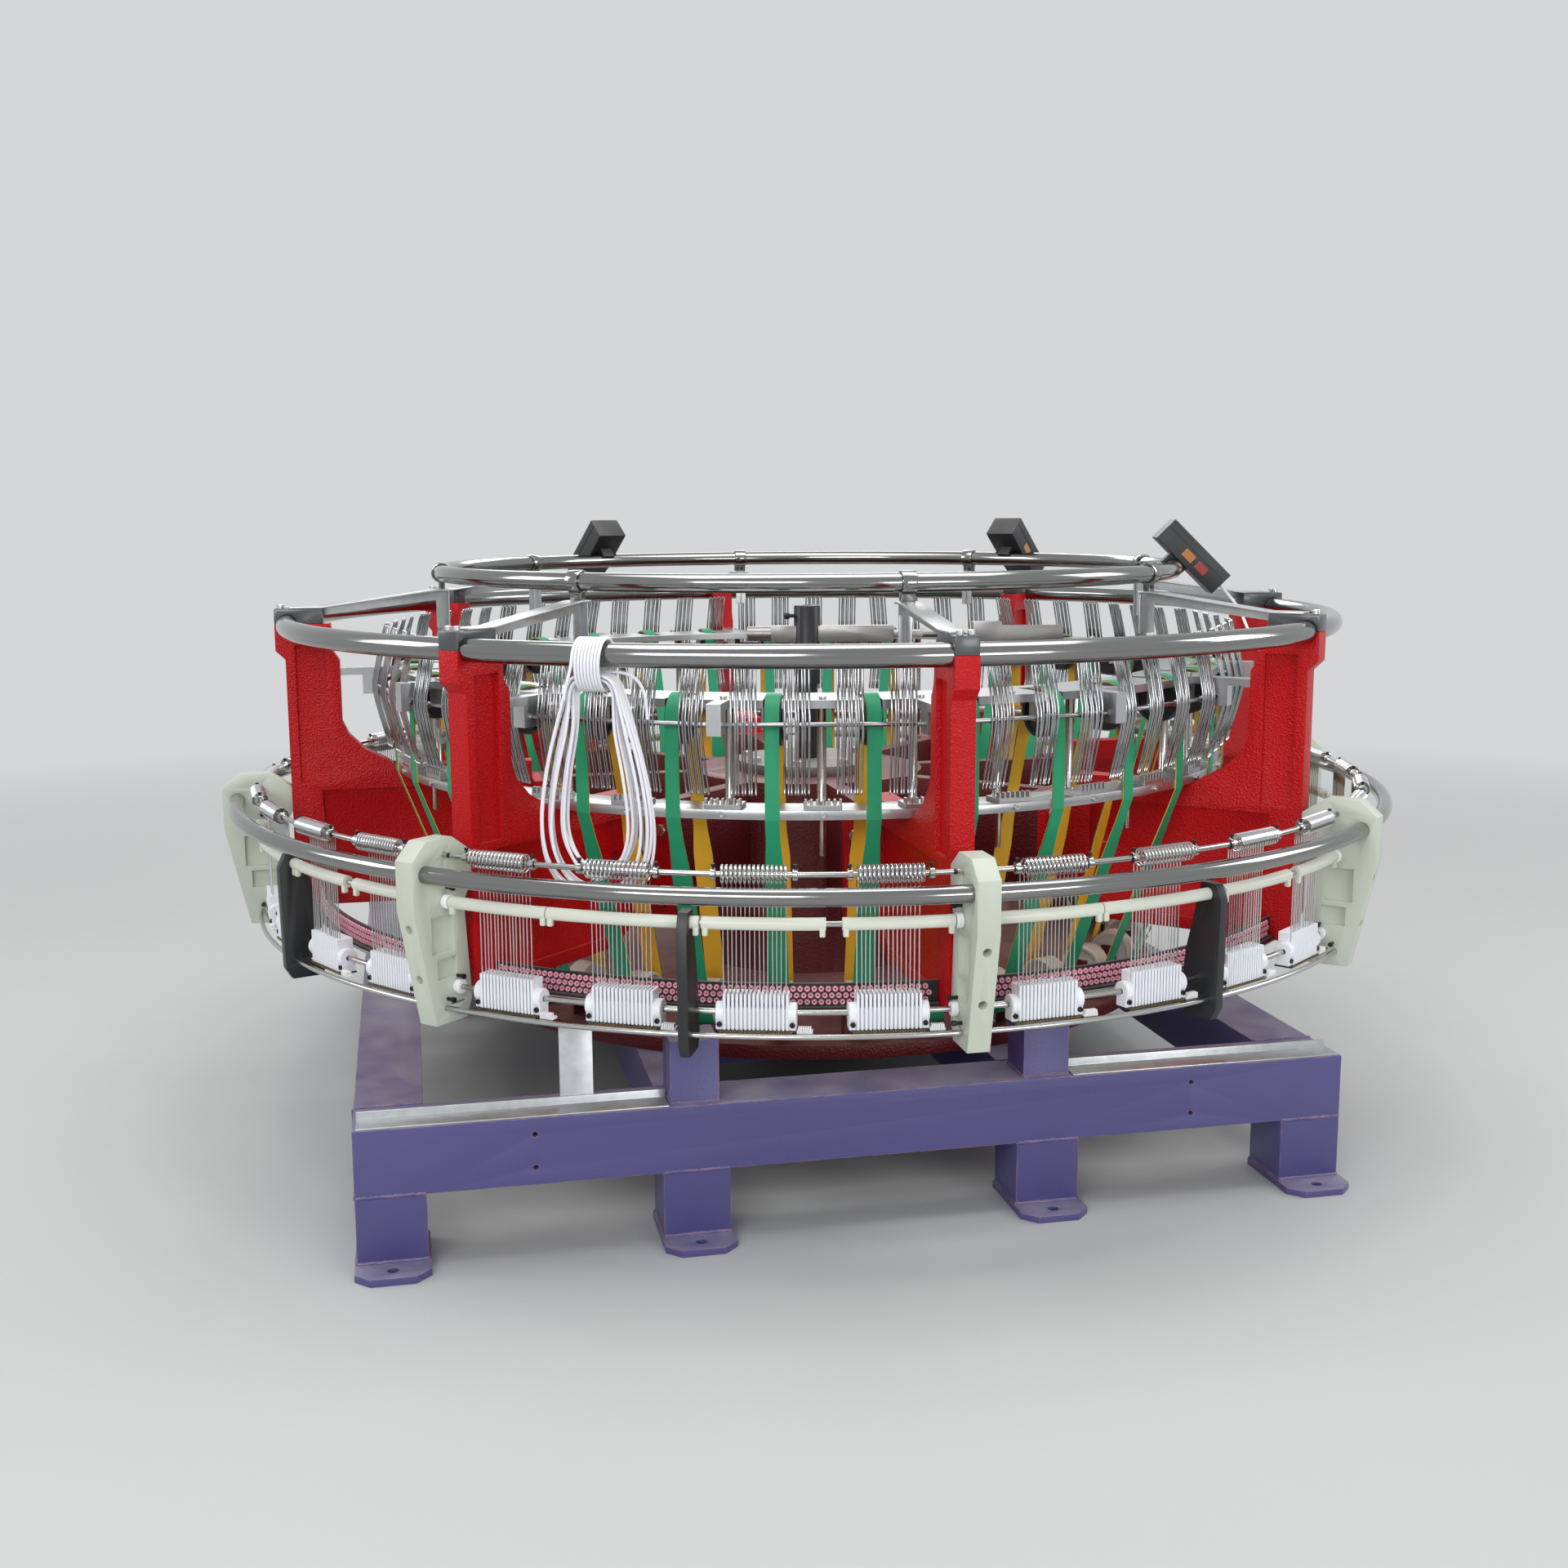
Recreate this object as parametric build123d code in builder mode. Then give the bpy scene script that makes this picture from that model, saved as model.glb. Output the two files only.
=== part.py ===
# Circular loom for woven sacks: base frame, centre casting, eight posts, the tube rings that
# they carry, the warp guide rings outside, and the ring plates, belts and drive inside.
# Millimetres, +Z up, origin on the floor under the vertical axis of the loom.
# The long front beam of the frame faces -Y.
import math
import os

from build123d import *

os.makedirs("parts", exist_ok=True)

# Driving dimensions
SECTORS = 8                   # posts, and outer brackets, round the loom
LANES_PER_SECTOR = 4          # belts, guide tubes and comb blocks in one sector
HOOK_ROWS = 16                # straight pivot rods that carry the wire hooks
SPRING_LANES = (6.6, 17.1)    # springs and comb blocks of a half sector, in degrees from its post

FRAME_LENGTH = 1680.0         # along X
FRAME_DEPTH = 1780.0          # along Y
FRAME_TOP = 230.0
FRAME_X = -90.0                # middle of the frame, seen from the axis of the loom
TUBE = 110.0                  # square tube of the weldment
INNER_LEG_X = 300.0
FOOT_T = 12.0
FOOT_W = 118.0
TOE = 60.0                    # how far a foot plate stands out in front of its leg
TOE_HOLE_R = 9.0
UPRIGHT_W = 80.0
UPRIGHT_H = 105.0

POST_OUT_R = 1050.0           # outer face of the posts
POST_ARM_W = 102.0
POST_IN_R = POST_OUT_R - POST_ARM_W

UPPER_RING_R = POST_OUT_R - 5.0
UPPER_RING_Z = 960.0
UPPER_TUBE_R = 19.0
TOP_RING_R = 745.0
TOP_RING_Z = 1056.0
TOP_TUBE_R = 16.0
LOWER_RING_R = POST_OUT_R + 105.0
LOWER_RING_Z = 617.0
LOWER_TUBE_R = 14.0

DISC_R = 720.0                # centre casting
DISC_T = 25.0
DRUM_R = 240.0
DRUM_TOP = 640.0
BORE_R = 105.0

POST_T = 40.0                 # thickness of a post, across its arm
POST_FOOT_R = 560.0
POST_BOTTOM_Z = 400.0
WEB_TOP_Z = 676.0
RIM = 13.0                    # width of the raised border of a post
PANEL_DEPTH = 8.0

PLATE_OUT_R = POST_IN_R - 101.0       # lower ring plate
PLATE_IN_R = PLATE_OUT_R - 77.0
PLATE_T = 16.0
UPPER_PLATE_OUT_R = POST_IN_R - 110.0
UPPER_PLATE_IN_R = UPPER_PLATE_OUT_R - 118.0
UPPER_PLATE_Z = 858.0
UPPER_PLATE_T = 14.0

TOP_PULLEY_R = 42.0
TOP_PULLEY_W = 28.0
LOW_PULLEY_R = 40.0
LOW_PULLEY_W = 38.0
LOW_PULLEY_PLACE = (668.0, 316.0)
PIN_R = 6.0
EAR_T = 5.0
EAR_GAP = 1.0                 # side play of a pulley between its ears
BELT_T = 3.0
BELT_W_TOP = 24.0
BELT_W_LOW = 34.0
BELT_STEP_Z = 600.0           # below this height a belt is wider

HOOK_ROD_R = 4.0
HOOK_ROD_X = POST_IN_R - 80.0         # distance of a straight pivot rod from the axis
HOOK_ROD_Z = 836.0
HOOK_HALF = 121.0             # half the height of a hook
HOOK_BOW = 29.0
HOOK_T = 3.0
HOOK_W = 9.6
HOOK_PITCH = 11.0
HOOKS_IN_GROUP = 4
GROUPS_IN_ROW = 4
GROUP_PITCH = 86.0

SPRING_ROD_R = LOWER_RING_R - 43.0    # outer guide rods
SPRING_ROD_Z = 642.0
TUBE_ROD_Z = 567.0
COMB_ROD_R = LOWER_RING_R - 65.0
COMB_ROD_Z = 424.0
BOTTOM_ROD_R = LOWER_RING_R - 37.0
BOTTOM_ROD_Z = 394.0
ROD_R = 4.5
GUIDE_R = 10.0
BRACKET_T = 36.0
BLACK_T = 24.0
STRIP_T = 3.0
STRIP_Z = 396.0
BLOCK_TOP = 457.0
COIL_R = 14.0
COIL_LEN = 106.0
WIRES = 15
WIRE_W = 2.0

SHAFT_R = 22.0
HUB_R = 27.5
HUB_BOTTOM = 815.0
HUB_TOP = 979.0
ARM_Z = 920.0
ARM_AZIMUTH = -11.5
MAIN_PULLEY_R = 200.0
MOTOR_PULLEY_R = 70.0
MOTOR_X = -600.0
MOTOR_Y = 600.0
PULLEY_BOTTOM = 62.0
PULLEY_H = 46.0
MOTOR_SHAFT_R = 14.0
MOTOR_R = 105.0
MOTOR_TOP = 390.0
MOTOR_PLATE_T = 8.0

RUN_FIT = 0.05                # radial clearance of a pin or shaft that turns in its bore
BELT_CLEAR = 0.3              # a still belt stays this far off a turning pulley

LANES = SECTORS * LANES_PER_SECTOR
SECTOR_DEG = 360.0 / SECTORS
LANE_DEG = 360.0 / LANES
ROW_DEG = 360.0 / HOOK_ROWS
UP = (Align.CENTER, Align.CENTER, Align.MIN)
OUT_UP = (Align.MIN, Align.CENTER, Align.MIN)


def save(builder, label):
    builder.part.label = label
    export_step(builder.part, f"parts/{label}.step")


def radial_plane(angle):
    # local x runs outward and local y runs up
    a = math.radians(angle)
    return Plane(origin=(0, 0, 0), x_dir=(math.cos(a), math.sin(a), 0),
                 z_dir=(math.sin(a), -math.cos(a), 0))


def facing_plane(radius, angle):
    # stands across the radius: local x runs along the ring, local y runs up
    a = math.radians(angle)
    return Plane(origin=(radius * math.cos(a), radius * math.sin(a), 0),
                 x_dir=(-math.sin(a), math.cos(a), 0), z_dir=(math.cos(a), math.sin(a), 0))


def turned(angle):
    return Location((0, 0, 0), (0, 0, angle))


def ring_of(piece, count, label, start=0.0, cuts=()):
    # the same piece repeated round the axis of the loom, as one node of separate solids
    with BuildPart() as group:
        with PolarLocations(0, count, start_angle=start):
            add(piece, clean=False)
        for cut in cuts:
            add(cut, mode=Mode.SUBTRACT, clean=False)
    save(group, label)
    return group.part


def spring_lanes_of(piece, label):
    # the same piece at the four spring lanes of every sector
    lanes = [*SPRING_LANES, *(SECTOR_DEG - a for a in SPRING_LANES)]
    with BuildPart() as group:
        with Locations(*[turned(SECTOR_DEG * k + a) for k in range(SECTORS) for a in lanes]):
            add(piece, clean=False)
    save(group, label)


def wrap(circles):
    # edges of a taut loop round circles (x, y, r) given in anticlockwise order
    n = len(circles)
    leave = []
    arrive = []
    for i in range(n):
        x0, y0, r0 = circles[i]
        x1, y1, r1 = circles[(i + 1) % n]
        span = math.hypot(x1 - x0, y1 - y0)
        normal = math.atan2(y1 - y0, x1 - x0) - math.pi / 2 + math.asin((r0 - r1) / span)
        leave.append(normal)
        arrive.append(normal)
    edges = []
    for i in range(n):
        x, y, r = circles[i]
        a0 = arrive[i - 1]
        a1 = leave[i]
        while a1 < a0:
            a1 += 2 * math.pi
        ends = [(x + r * math.cos(a), y + r * math.sin(a)) for a in (a0, (a0 + a1) / 2, a1)]
        edges.append(ends if r > 0 else [ends[0]])
    return edges


def draw_loop(circles):
    # call inside a BuildLine
    edges = wrap(circles)
    for i, ends in enumerate(edges):
        if len(ends) == 3:
            ThreePointArc(*ends)
        Line(ends[-1], edges[(i + 1) % len(edges)][0])


# Base frame weldment
half_x = FRAME_LENGTH / 2
half_y = FRAME_DEPTH / 2
beam_x = half_x - TUBE / 2
beam_y = half_y - TUBE / 2
beam_z = FRAME_TOP - TUBE / 2
leg_h = FRAME_TOP - TUBE - FOOT_T
leg_lines = [FRAME_X + x for x in (-beam_x, -INNER_LEG_X, INNER_LEG_X, beam_x)]
leg_places = [(x, y) for y in (-beam_y, beam_y) for x in leg_lines]
upright_places = [(x, y) for y in (-beam_y, beam_y) for x in leg_lines[1:3]]

with BuildPart() as base_frame:
    with Locations((FRAME_X, -beam_y, beam_z), (FRAME_X, beam_y, beam_z)):
        Box(FRAME_LENGTH, TUBE, TUBE)
    with Locations(*[(x, 0, beam_z) for x in leg_lines]):
        Box(TUBE, FRAME_DEPTH - 2 * TUBE, TUBE)
    with Locations((FRAME_X, -INNER_LEG_X, beam_z), (FRAME_X, INNER_LEG_X, beam_z)):
        Box(2 * INNER_LEG_X - TUBE, TUBE, TUBE)
    with Locations(*[(x, y, FOOT_T) for x, y in leg_places]):
        Box(TUBE, TUBE, leg_h, align=UP)
    # short uprights over the inner legs
    with Locations(*[(x, y, FRAME_TOP) for x, y in upright_places]):
        Box(UPRIGHT_W, UPRIGHT_W, UPRIGHT_H, align=UP)
    # two pairs of bolt holes in the front wall of the front beam
    with BuildSketch(Plane.XZ.offset(half_y)):
        with Locations((FRAME_X + 0.665 * half_x, beam_z), (FRAME_X - 0.665 * half_x, beam_z)):
            with GridLocations(1, TUBE / 2, 1, 2):
                Circle(4.5)
    extrude(amount=-30, mode=Mode.SUBTRACT)
save(base_frame, "base_frame")

corner = 24.0
with BuildPart() as foot_plates:
    for x, y in leg_places:
        out = math.copysign(1, y)
        back = y - out * TUBE / 2
        tip = y + out * (TUBE / 2 + TOE)
        with BuildSketch(Plane.XY):
            with BuildLine():
                Polyline((x - FOOT_W / 2, back), (x + FOOT_W / 2, back),
                         (x + FOOT_W / 2, tip - out * corner), (x + FOOT_W / 2 - corner, tip),
                         (x - FOOT_W / 2 + corner, tip), (x - FOOT_W / 2, tip - out * corner), close=True)
            make_face()
            with Locations((x, tip - out * TOE / 2)):
                Circle(TOE_HOLE_R, mode=Mode.SUBTRACT)
        extrude(amount=FOOT_T)
save(foot_plates, "foot_plates")

# Centre casting: disc, drum, ribs with pads for the posts, lugs for the lower belt pulleys
disc_top = FRAME_TOP + DISC_T
pad_t = 18.0
pad_w = 130.0
pad_bottom = POST_BOTTOM_Z + 30.0
pad_h = DRUM_TOP - pad_bottom
rib_t = 32.0
low_ear = LOW_PULLEY_W / 2 + EAR_GAP + EAR_T / 2
low_ear_top = LOW_PULLEY_PLACE[1] + 2.5 * PIN_R

with BuildPart() as rib:
    with Locations((DRUM_R / 2 + 10, 0, pad_bottom)):
        Box(POST_FOOT_R - DRUM_R / 2 - 10, rib_t, pad_h, align=OUT_UP)
    with Locations((POST_FOOT_R - pad_t, 0, pad_bottom)):
        Box(pad_t, pad_w, pad_h, align=OUT_UP)
with BuildPart() as lugs:
    with Locations((LOW_PULLEY_PLACE[0], low_ear, disc_top), (LOW_PULLEY_PLACE[0], -low_ear, disc_top)):
        Box(30, EAR_T, low_ear_top - disc_top, align=UP)

with BuildPart() as base_casting:
    with Locations((0, 0, FRAME_TOP)):
        Cylinder(DISC_R, DISC_T, align=UP)
        Cylinder(DRUM_R, DRUM_TOP - FRAME_TOP, align=UP)
    with PolarLocations(0, SECTORS):
        add(rib.part)
    with PolarLocations(0, LANES, start_angle=LANE_DEG / 2):
        add(lugs.part)
    with Locations((0, 0, FRAME_TOP - 1)):
        Cylinder(BORE_R, DRUM_TOP - FRAME_TOP + 2, align=UP, mode=Mode.SUBTRACT)
save(base_casting, "base_casting")

# Upper ring, posts and the clamps that hold the ring on the post heads
with BuildPart() as upper_ring:
    with Locations((0, 0, UPPER_RING_Z)):
        Torus(UPPER_RING_R, UPPER_TUBE_R)
save(upper_ring, "upper_ring")

head_in = POST_IN_R + 14.0
head_out = UPPER_RING_R + UPPER_TUBE_R + 4.0
head_z = UPPER_RING_Z - UPPER_TUBE_R - 36.0
cap_in = UPPER_RING_R - UPPER_TUBE_R - 50.0
cap_top = UPPER_RING_Z + UPPER_TUBE_R + 11.0
foot_face = POST_FOOT_R + pad_t
post_outline = [(foot_face, POST_BOTTOM_Z + 60), (foot_face + 110, POST_BOTTOM_Z),
                (POST_OUT_R - 14, POST_BOTTOM_Z), (POST_OUT_R, POST_BOTTOM_Z + 60),
                (POST_OUT_R, head_z - 14), (head_out, head_z + 4), (head_out, UPPER_RING_Z),
                (head_in, UPPER_RING_Z), (head_in, head_z + 4), (POST_IN_R, head_z - 18),
                (POST_IN_R, WEB_TOP_Z + 90), (POST_IN_R - 12, WEB_TOP_Z + 64),
                (POST_IN_R - 42, WEB_TOP_Z + 34), (POST_IN_R - 80, WEB_TOP_Z + 14),
                (POST_IN_R - 101, WEB_TOP_Z), (foot_face, WEB_TOP_Z)]
arm_panel = [(POST_IN_R + 2 * RIM, WEB_TOP_Z - 31), (POST_OUT_R - 1.4 * RIM, WEB_TOP_Z - 31),
             (POST_OUT_R - 1.4 * RIM, head_z + 14), (POST_IN_R + 2 * RIM, head_z + 14)]
web_panel = [(foot_face + 70, POST_BOTTOM_Z + 60), (foot_face + 130, POST_BOTTOM_Z + 22),
             (POST_OUT_R - 68, POST_BOTTOM_Z + 22), (POST_OUT_R - 58, WEB_TOP_Z - 45),
             (foot_face + 70, WEB_TOP_Z - 45)]

with BuildPart() as post:
    with BuildSketch(radial_plane(0)):
        with BuildLine():
            Polyline(*post_outline, close=True)
        make_face()
    extrude(amount=POST_T / 2, both=True)
    with Locations((POST_FOOT_R, 0, pad_bottom)):
        Box(pad_t, pad_w, pad_h, align=OUT_UP)
    # recessed panels leave a raised border on both sides
    for side in (-1, 1):
        for panel in (arm_panel, web_panel):
            with BuildSketch(radial_plane(0).offset(side * POST_T / 2)):
                with BuildLine():
                    Polyline(*panel, close=True)
                make_face()
            extrude(amount=-side * PANEL_DEPTH, mode=Mode.SUBTRACT)
    with BuildSketch(radial_plane(0).offset(POST_T)):
        with Locations((foot_face + 90, (POST_BOTTOM_Z + WEB_TOP_Z) / 2 + 20)):
            Circle(14)
    extrude(amount=-2 * POST_T, mode=Mode.SUBTRACT)
    add(upper_ring.part, mode=Mode.SUBTRACT)
ring_of(post.part, SECTORS, "posts")

with BuildPart() as clamp:
    with Locations((cap_in, 0, UPPER_RING_Z)):
        Box(head_out - cap_in, POST_T, cap_top - UPPER_RING_Z, align=OUT_UP)
    add(upper_ring.part, mode=Mode.SUBTRACT)
ring_of(clamp.part, SECTORS, "ring_clamps")

# Top ring, its straps and the folded stays down to the post heads
with BuildPart() as top_ring:
    with Locations((0, 0, TOP_RING_Z)):
        Torus(TOP_RING_R, TOP_TUBE_R)
save(top_ring, "top_ring")

strap_t = 4.0
stay_t = 4.0
strap_bottom = TOP_RING_Z - TOP_TUBE_R - strap_t - 12
stay_z = strap_bottom - stay_t
with BuildPart() as strap:
    with BuildSketch(radial_plane(0)):
        with Locations((TOP_RING_R, TOP_RING_Z)):
            Circle(TOP_TUBE_R + strap_t)
        with Locations((TOP_RING_R, (strap_bottom + TOP_RING_Z) / 2)):
            Rectangle(12, TOP_RING_Z - strap_bottom)
    extrude(amount=13, both=True)
    add(top_ring.part, mode=Mode.SUBTRACT)
ring_of(strap.part, SECTORS, "strap_clamps")

with BuildPart() as stay:
    with BuildSketch(radial_plane(0)):
        with BuildLine():
            Polyline((TOP_RING_R - 14, stay_z), (TOP_RING_R + 14, stay_z), (cap_in, cap_top),
                     (cap_in, cap_top - 15), (TOP_RING_R - 14, stay_z - 75), close=True)
        make_face()
    extrude(amount=stay_t / 2, both=True)
    with BuildSketch(radial_plane(0)):
        with BuildLine():
            Polyline((TOP_RING_R - 14, stay_z), (TOP_RING_R + 14, stay_z), (cap_in, cap_top),
                     (head_out - 30, cap_top), (head_out - 30, cap_top + stay_t),
                     (cap_in, cap_top + stay_t), (TOP_RING_R + 14, strap_bottom),
                     (TOP_RING_R - 14, strap_bottom), close=True)
        make_face()
    extrude(amount=POST_T / 2 - 1, both=True)
ring_of(stay.part, SECTORS, "ring_stays")

# Sensor boxes sit on the top ring on saddles and lean outward
box_l = 160.0
box_w = 74.0
box_d = 52.0
box_angles = [-16.5, 37.0, 117.5]
with BuildPart() as sensor_boxes:
    for a in box_angles:
        with Locations(turned(a)):
            with Locations(Location((TOP_RING_R + 40, 0, TOP_RING_Z + 22), (0, 45, 0))):
                Box(box_l, box_w, box_d)
                with Locations((-12.7, 0, -box_d / 2 - 12)):
                    Box(46, 30, 24)
    add(top_ring.part, mode=Mode.SUBTRACT)
save(sensor_boxes, "sensor_boxes")

# Outer rings and rods
with BuildPart() as lower_ring:
    with Locations((0, 0, LOWER_RING_Z)):
        Torus(LOWER_RING_R, LOWER_TUBE_R)
save(lower_ring, "lower_ring")

with BuildPart() as guide_rods:
    for radius, height in ((SPRING_ROD_R, SPRING_ROD_Z), (SPRING_ROD_R, TUBE_ROD_Z),
                           (COMB_ROD_R, COMB_ROD_Z), (BOTTOM_ROD_R, BOTTOM_ROD_Z)):
        with Locations((0, 0, height)):
            Torus(radius, ROD_R)
save(guide_rods, "guide_rods")

# tubes slipped over their rod, as start and end places within one sector
tube_spans = [(0.035, 0.243), (0.245, 0.525), (0.529, 0.742), (0.77, 0.965)]
with BuildPart() as tube_set:
    for start, end in tube_spans:
        with BuildSketch(radial_plane(start * SECTOR_DEG)):
            with Locations((SPRING_ROD_R, TUBE_ROD_Z)):
                Circle(GUIDE_R)
                Circle(ROD_R, mode=Mode.SUBTRACT)
        revolve(axis=Axis.Z, revolution_arc=(end - start) * SECTOR_DEG)
ring_of(tube_set.part, SECTORS, "guide_tubes")

strip_in = COMB_ROD_R - 16.0
strip_out = COMB_ROD_R + 16.0
with BuildPart() as contact_strip:
    with BuildSketch(Plane.XZ):
        with Locations(((strip_in + strip_out) / 2, STRIP_Z + STRIP_T / 2)):
            Rectangle(strip_out - strip_in, STRIP_T)
    revolve(axis=Axis.Z)
save(contact_strip, "contact_strip")

ring_z = LOWER_RING_Z
front_r = LOWER_RING_R + LOWER_TUBE_R + 13
bracket_outline = [(POST_OUT_R, ring_z - 27), (POST_OUT_R, ring_z + 23), (SPRING_ROD_R - 20, ring_z + 51),
                   (LOWER_RING_R - 5, ring_z + 51), (front_r, ring_z + 23), (front_r, ring_z - 57),
                   (BOTTOM_ROD_R + 22, BOTTOM_ROD_Z - 26), (COMB_ROD_R - 20, BOTTOM_ROD_Z - 26),
                   (COMB_ROD_R - 32, BOTTOM_ROD_Z + 6), (SPRING_ROD_R - 42, TUBE_ROD_Z - 7)]
with BuildPart() as bracket:
    with BuildSketch(radial_plane(0)):
        with BuildLine():
            Polyline(*bracket_outline, close=True)
        make_face()
    extrude(amount=BRACKET_T / 2, both=True)
    # moulded cells on both sides
    for side in (-1, 1):
        with BuildSketch(radial_plane(0).offset(side * BRACKET_T / 2)):
            with Locations((SPRING_ROD_R + 8, TUBE_ROD_Z - 52)):
                Rectangle(50, 60)
            with Locations((SPRING_ROD_R, COMB_ROD_Z + 34)):
                Rectangle(44, 34)
        extrude(amount=-side * 10, mode=Mode.SUBTRACT)
    add(lower_ring.part, mode=Mode.SUBTRACT)
    add(guide_rods.part, mode=Mode.SUBTRACT)
    add(contact_strip.part, mode=Mode.SUBTRACT)
ring_of(bracket.part, SECTORS, "outer_brackets")

black_outline = [(SPRING_ROD_R - 14, TUBE_ROD_Z + 18), (SPRING_ROD_R + 16, TUBE_ROD_Z + 18),
                 (SPRING_ROD_R + 28, TUBE_ROD_Z - 7), (BOTTOM_ROD_R + 18, BOTTOM_ROD_Z - 14),
                 (BOTTOM_ROD_R + 6, BOTTOM_ROD_Z - 34), (COMB_ROD_R - 20, BOTTOM_ROD_Z - 34),
                 (COMB_ROD_R - 30, BOTTOM_ROD_Z - 9), (COMB_ROD_R - 20, COMB_ROD_Z + 46),
                 (SPRING_ROD_R - 20, TUBE_ROD_Z - 7)]
with BuildPart() as black_bracket:
    with BuildSketch(radial_plane(SECTOR_DEG / 2)):
        with BuildLine():
            Polyline(*black_outline, close=True)
        make_face()
    extrude(amount=BLACK_T / 2, both=True)
    add(tube_set.part, mode=Mode.SUBTRACT)
    add(guide_rods.part, mode=Mode.SUBTRACT)
    add(contact_strip.part, mode=Mode.SUBTRACT)
ring_of(black_bracket.part, SECTORS, "black_brackets")

# Comb blocks stand on the contact strip, round their rod
block_bottom = STRIP_Z + STRIP_T
hub_top = COMB_ROD_Z + 18.0
block_outline = [(-62, block_bottom), (62, block_bottom), (62, hub_top), (50, hub_top), (50, BLOCK_TOP),
                 (-50, BLOCK_TOP), (-50, hub_top), (-62, hub_top)]
block_t = 30.0
with BuildPart() as comb_block:
    with BuildSketch(facing_plane(COMB_ROD_R, 0)):
        with BuildLine():
            Polyline(*block_outline, close=True)
        make_face()
    extrude(amount=block_t / 2, both=True)
    with Locations((COMB_ROD_R, 0, COMB_ROD_Z)):
        Box(2 * ROD_R + 4, 130, 2 * ROD_R + 4, mode=Mode.SUBTRACT)
spring_lanes_of(comb_block.part, "comb_blocks")

# Torsion springs: a pack of coils round the rod, and straight wires down to the comb block
wire_x = SPRING_ROD_R - COIL_R
wire_pitch = (COIL_LEN - 8.0) / (WIRES - 1)
with BuildPart() as coil_pack:
    with BuildSketch(radial_plane(0)):
        with Locations((SPRING_ROD_R, SPRING_ROD_Z)):
            RegularPolygon(COIL_R, 8, major_radius=False, rotation=22.5)
            Rectangle(18, 18, mode=Mode.SUBTRACT)
    extrude(amount=COIL_LEN / 2, both=True)
spring_lanes_of(coil_pack.part, "spring_coils")

root_z = SPRING_ROD_Z - 5.0
wire_outline = [(-COIL_LEN / 2, root_z + 10), (-COIL_LEN / 2, root_z)]
for i in range(WIRES):
    y = (i - (WIRES - 1) / 2) * wire_pitch
    wire_outline += [(y - WIRE_W / 2, root_z), (y - WIRE_W / 2, BLOCK_TOP),
                     (y + WIRE_W / 2, BLOCK_TOP), (y + WIRE_W / 2, root_z)]
wire_outline += [(COIL_LEN / 2, root_z), (COIL_LEN / 2, root_z + 10)]
with BuildPart() as wire_set:
    with BuildSketch(facing_plane(wire_x, 0)):
        with BuildLine():
            Polyline(*wire_outline, close=True)
        make_face()
    extrude(amount=-WIRE_W)
spring_lanes_of(wire_set.part, "spring_wires")

# Eyelet rails run from post to post
with BuildPart() as eyelet_rails:
    with BuildSketch(Plane.XZ):
        with Locations((POST_OUT_R - 52, POST_BOTTOM_Z + 27)):
            Rectangle(5, 36)
        with Locations((POST_OUT_R - 52, POST_BOTTOM_Z + 7)):
            Rectangle(24, 5)
    revolve(axis=Axis.Z)
    with PolarLocations(0, SECTORS):
        Box(2.4 * POST_OUT_R, POST_T, 2.4 * POST_BOTTOM_Z, mode=Mode.SUBTRACT)
save(eyelet_rails, "eyelet_rails")

# Ring plates, their pillars and the comb plates
plate_top = WEB_TOP_Z + PLATE_T
with BuildPart() as lower_plate:
    with BuildSketch(Plane.XZ):
        with Locations(((PLATE_IN_R + PLATE_OUT_R) / 2, WEB_TOP_Z + PLATE_T / 2)):
            Rectangle(PLATE_OUT_R - PLATE_IN_R, PLATE_T)
    revolve(axis=Axis.Z)
save(lower_plate, "lower_ring_plate")

with BuildPart() as comb_plate:
    with Locations((PLATE_OUT_R - 47, 0, plate_top)):
        Box(44, 62, 8, align=OUT_UP)
ring_of(comb_plate.part, LANES, "comb_plates")

pillar_r = 9.0
with BuildPart() as pillar:
    with Locations((PLATE_IN_R + 12, 0, plate_top)):
        Cylinder(pillar_r, UPPER_PLATE_Z - plate_top, align=UP)
ring_of(pillar.part, LANES, "pillars")

with BuildPart() as guide_pin:
    with Locations((PLATE_IN_R + 20, 0, WEB_TOP_Z - 70)):
        Cylinder(5, 70, align=UP)
ring_of(guide_pin.part, 2 * SECTORS, "guide_pins", start=LANE_DEG)

pulley_x = PLATE_OUT_R - TOP_PULLEY_R
pulley_z = UPPER_PLATE_Z - 23.0
top_ear = TOP_PULLEY_W / 2 + EAR_GAP + EAR_T / 2
block_x = HOOK_ROD_X / math.cos(math.radians(ROW_DEG / 2))
hook_half_y = HOOK_ROD_X * math.tan(math.radians(ROW_DEG / 2))
rod_half = hook_half_y - 5.0
with BuildPart() as plate_tab:
    # arm and block that hold the ends of two pivot rods
    with Locations((UPPER_PLATE_OUT_R - 4, 0, UPPER_PLATE_Z)):
        Box(block_x + 20 - UPPER_PLATE_OUT_R + 4, 24, UPPER_PLATE_T, align=OUT_UP)
    with Locations((block_x, 0, HOOK_ROD_Z - 16)):
        Box(40, 24, UPPER_PLATE_Z + 4 - HOOK_ROD_Z + 16, align=UP)
    for side in (-1, 1):
        with Locations(turned(side * ROW_DEG / 2)):
            with Locations((HOOK_ROD_X, -side * (rod_half - 10), HOOK_ROD_Z)):
                Cylinder(HOOK_ROD_R + RUN_FIT, 22, rotation=(90, 0, 0), mode=Mode.SUBTRACT)
with BuildPart() as ears:
    with Locations((pulley_x, top_ear, pulley_z - 14), (pulley_x, -top_ear, pulley_z - 14)):
        Box(28, EAR_T, UPPER_PLATE_Z + 4 - pulley_z + 14, align=UP)
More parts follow.
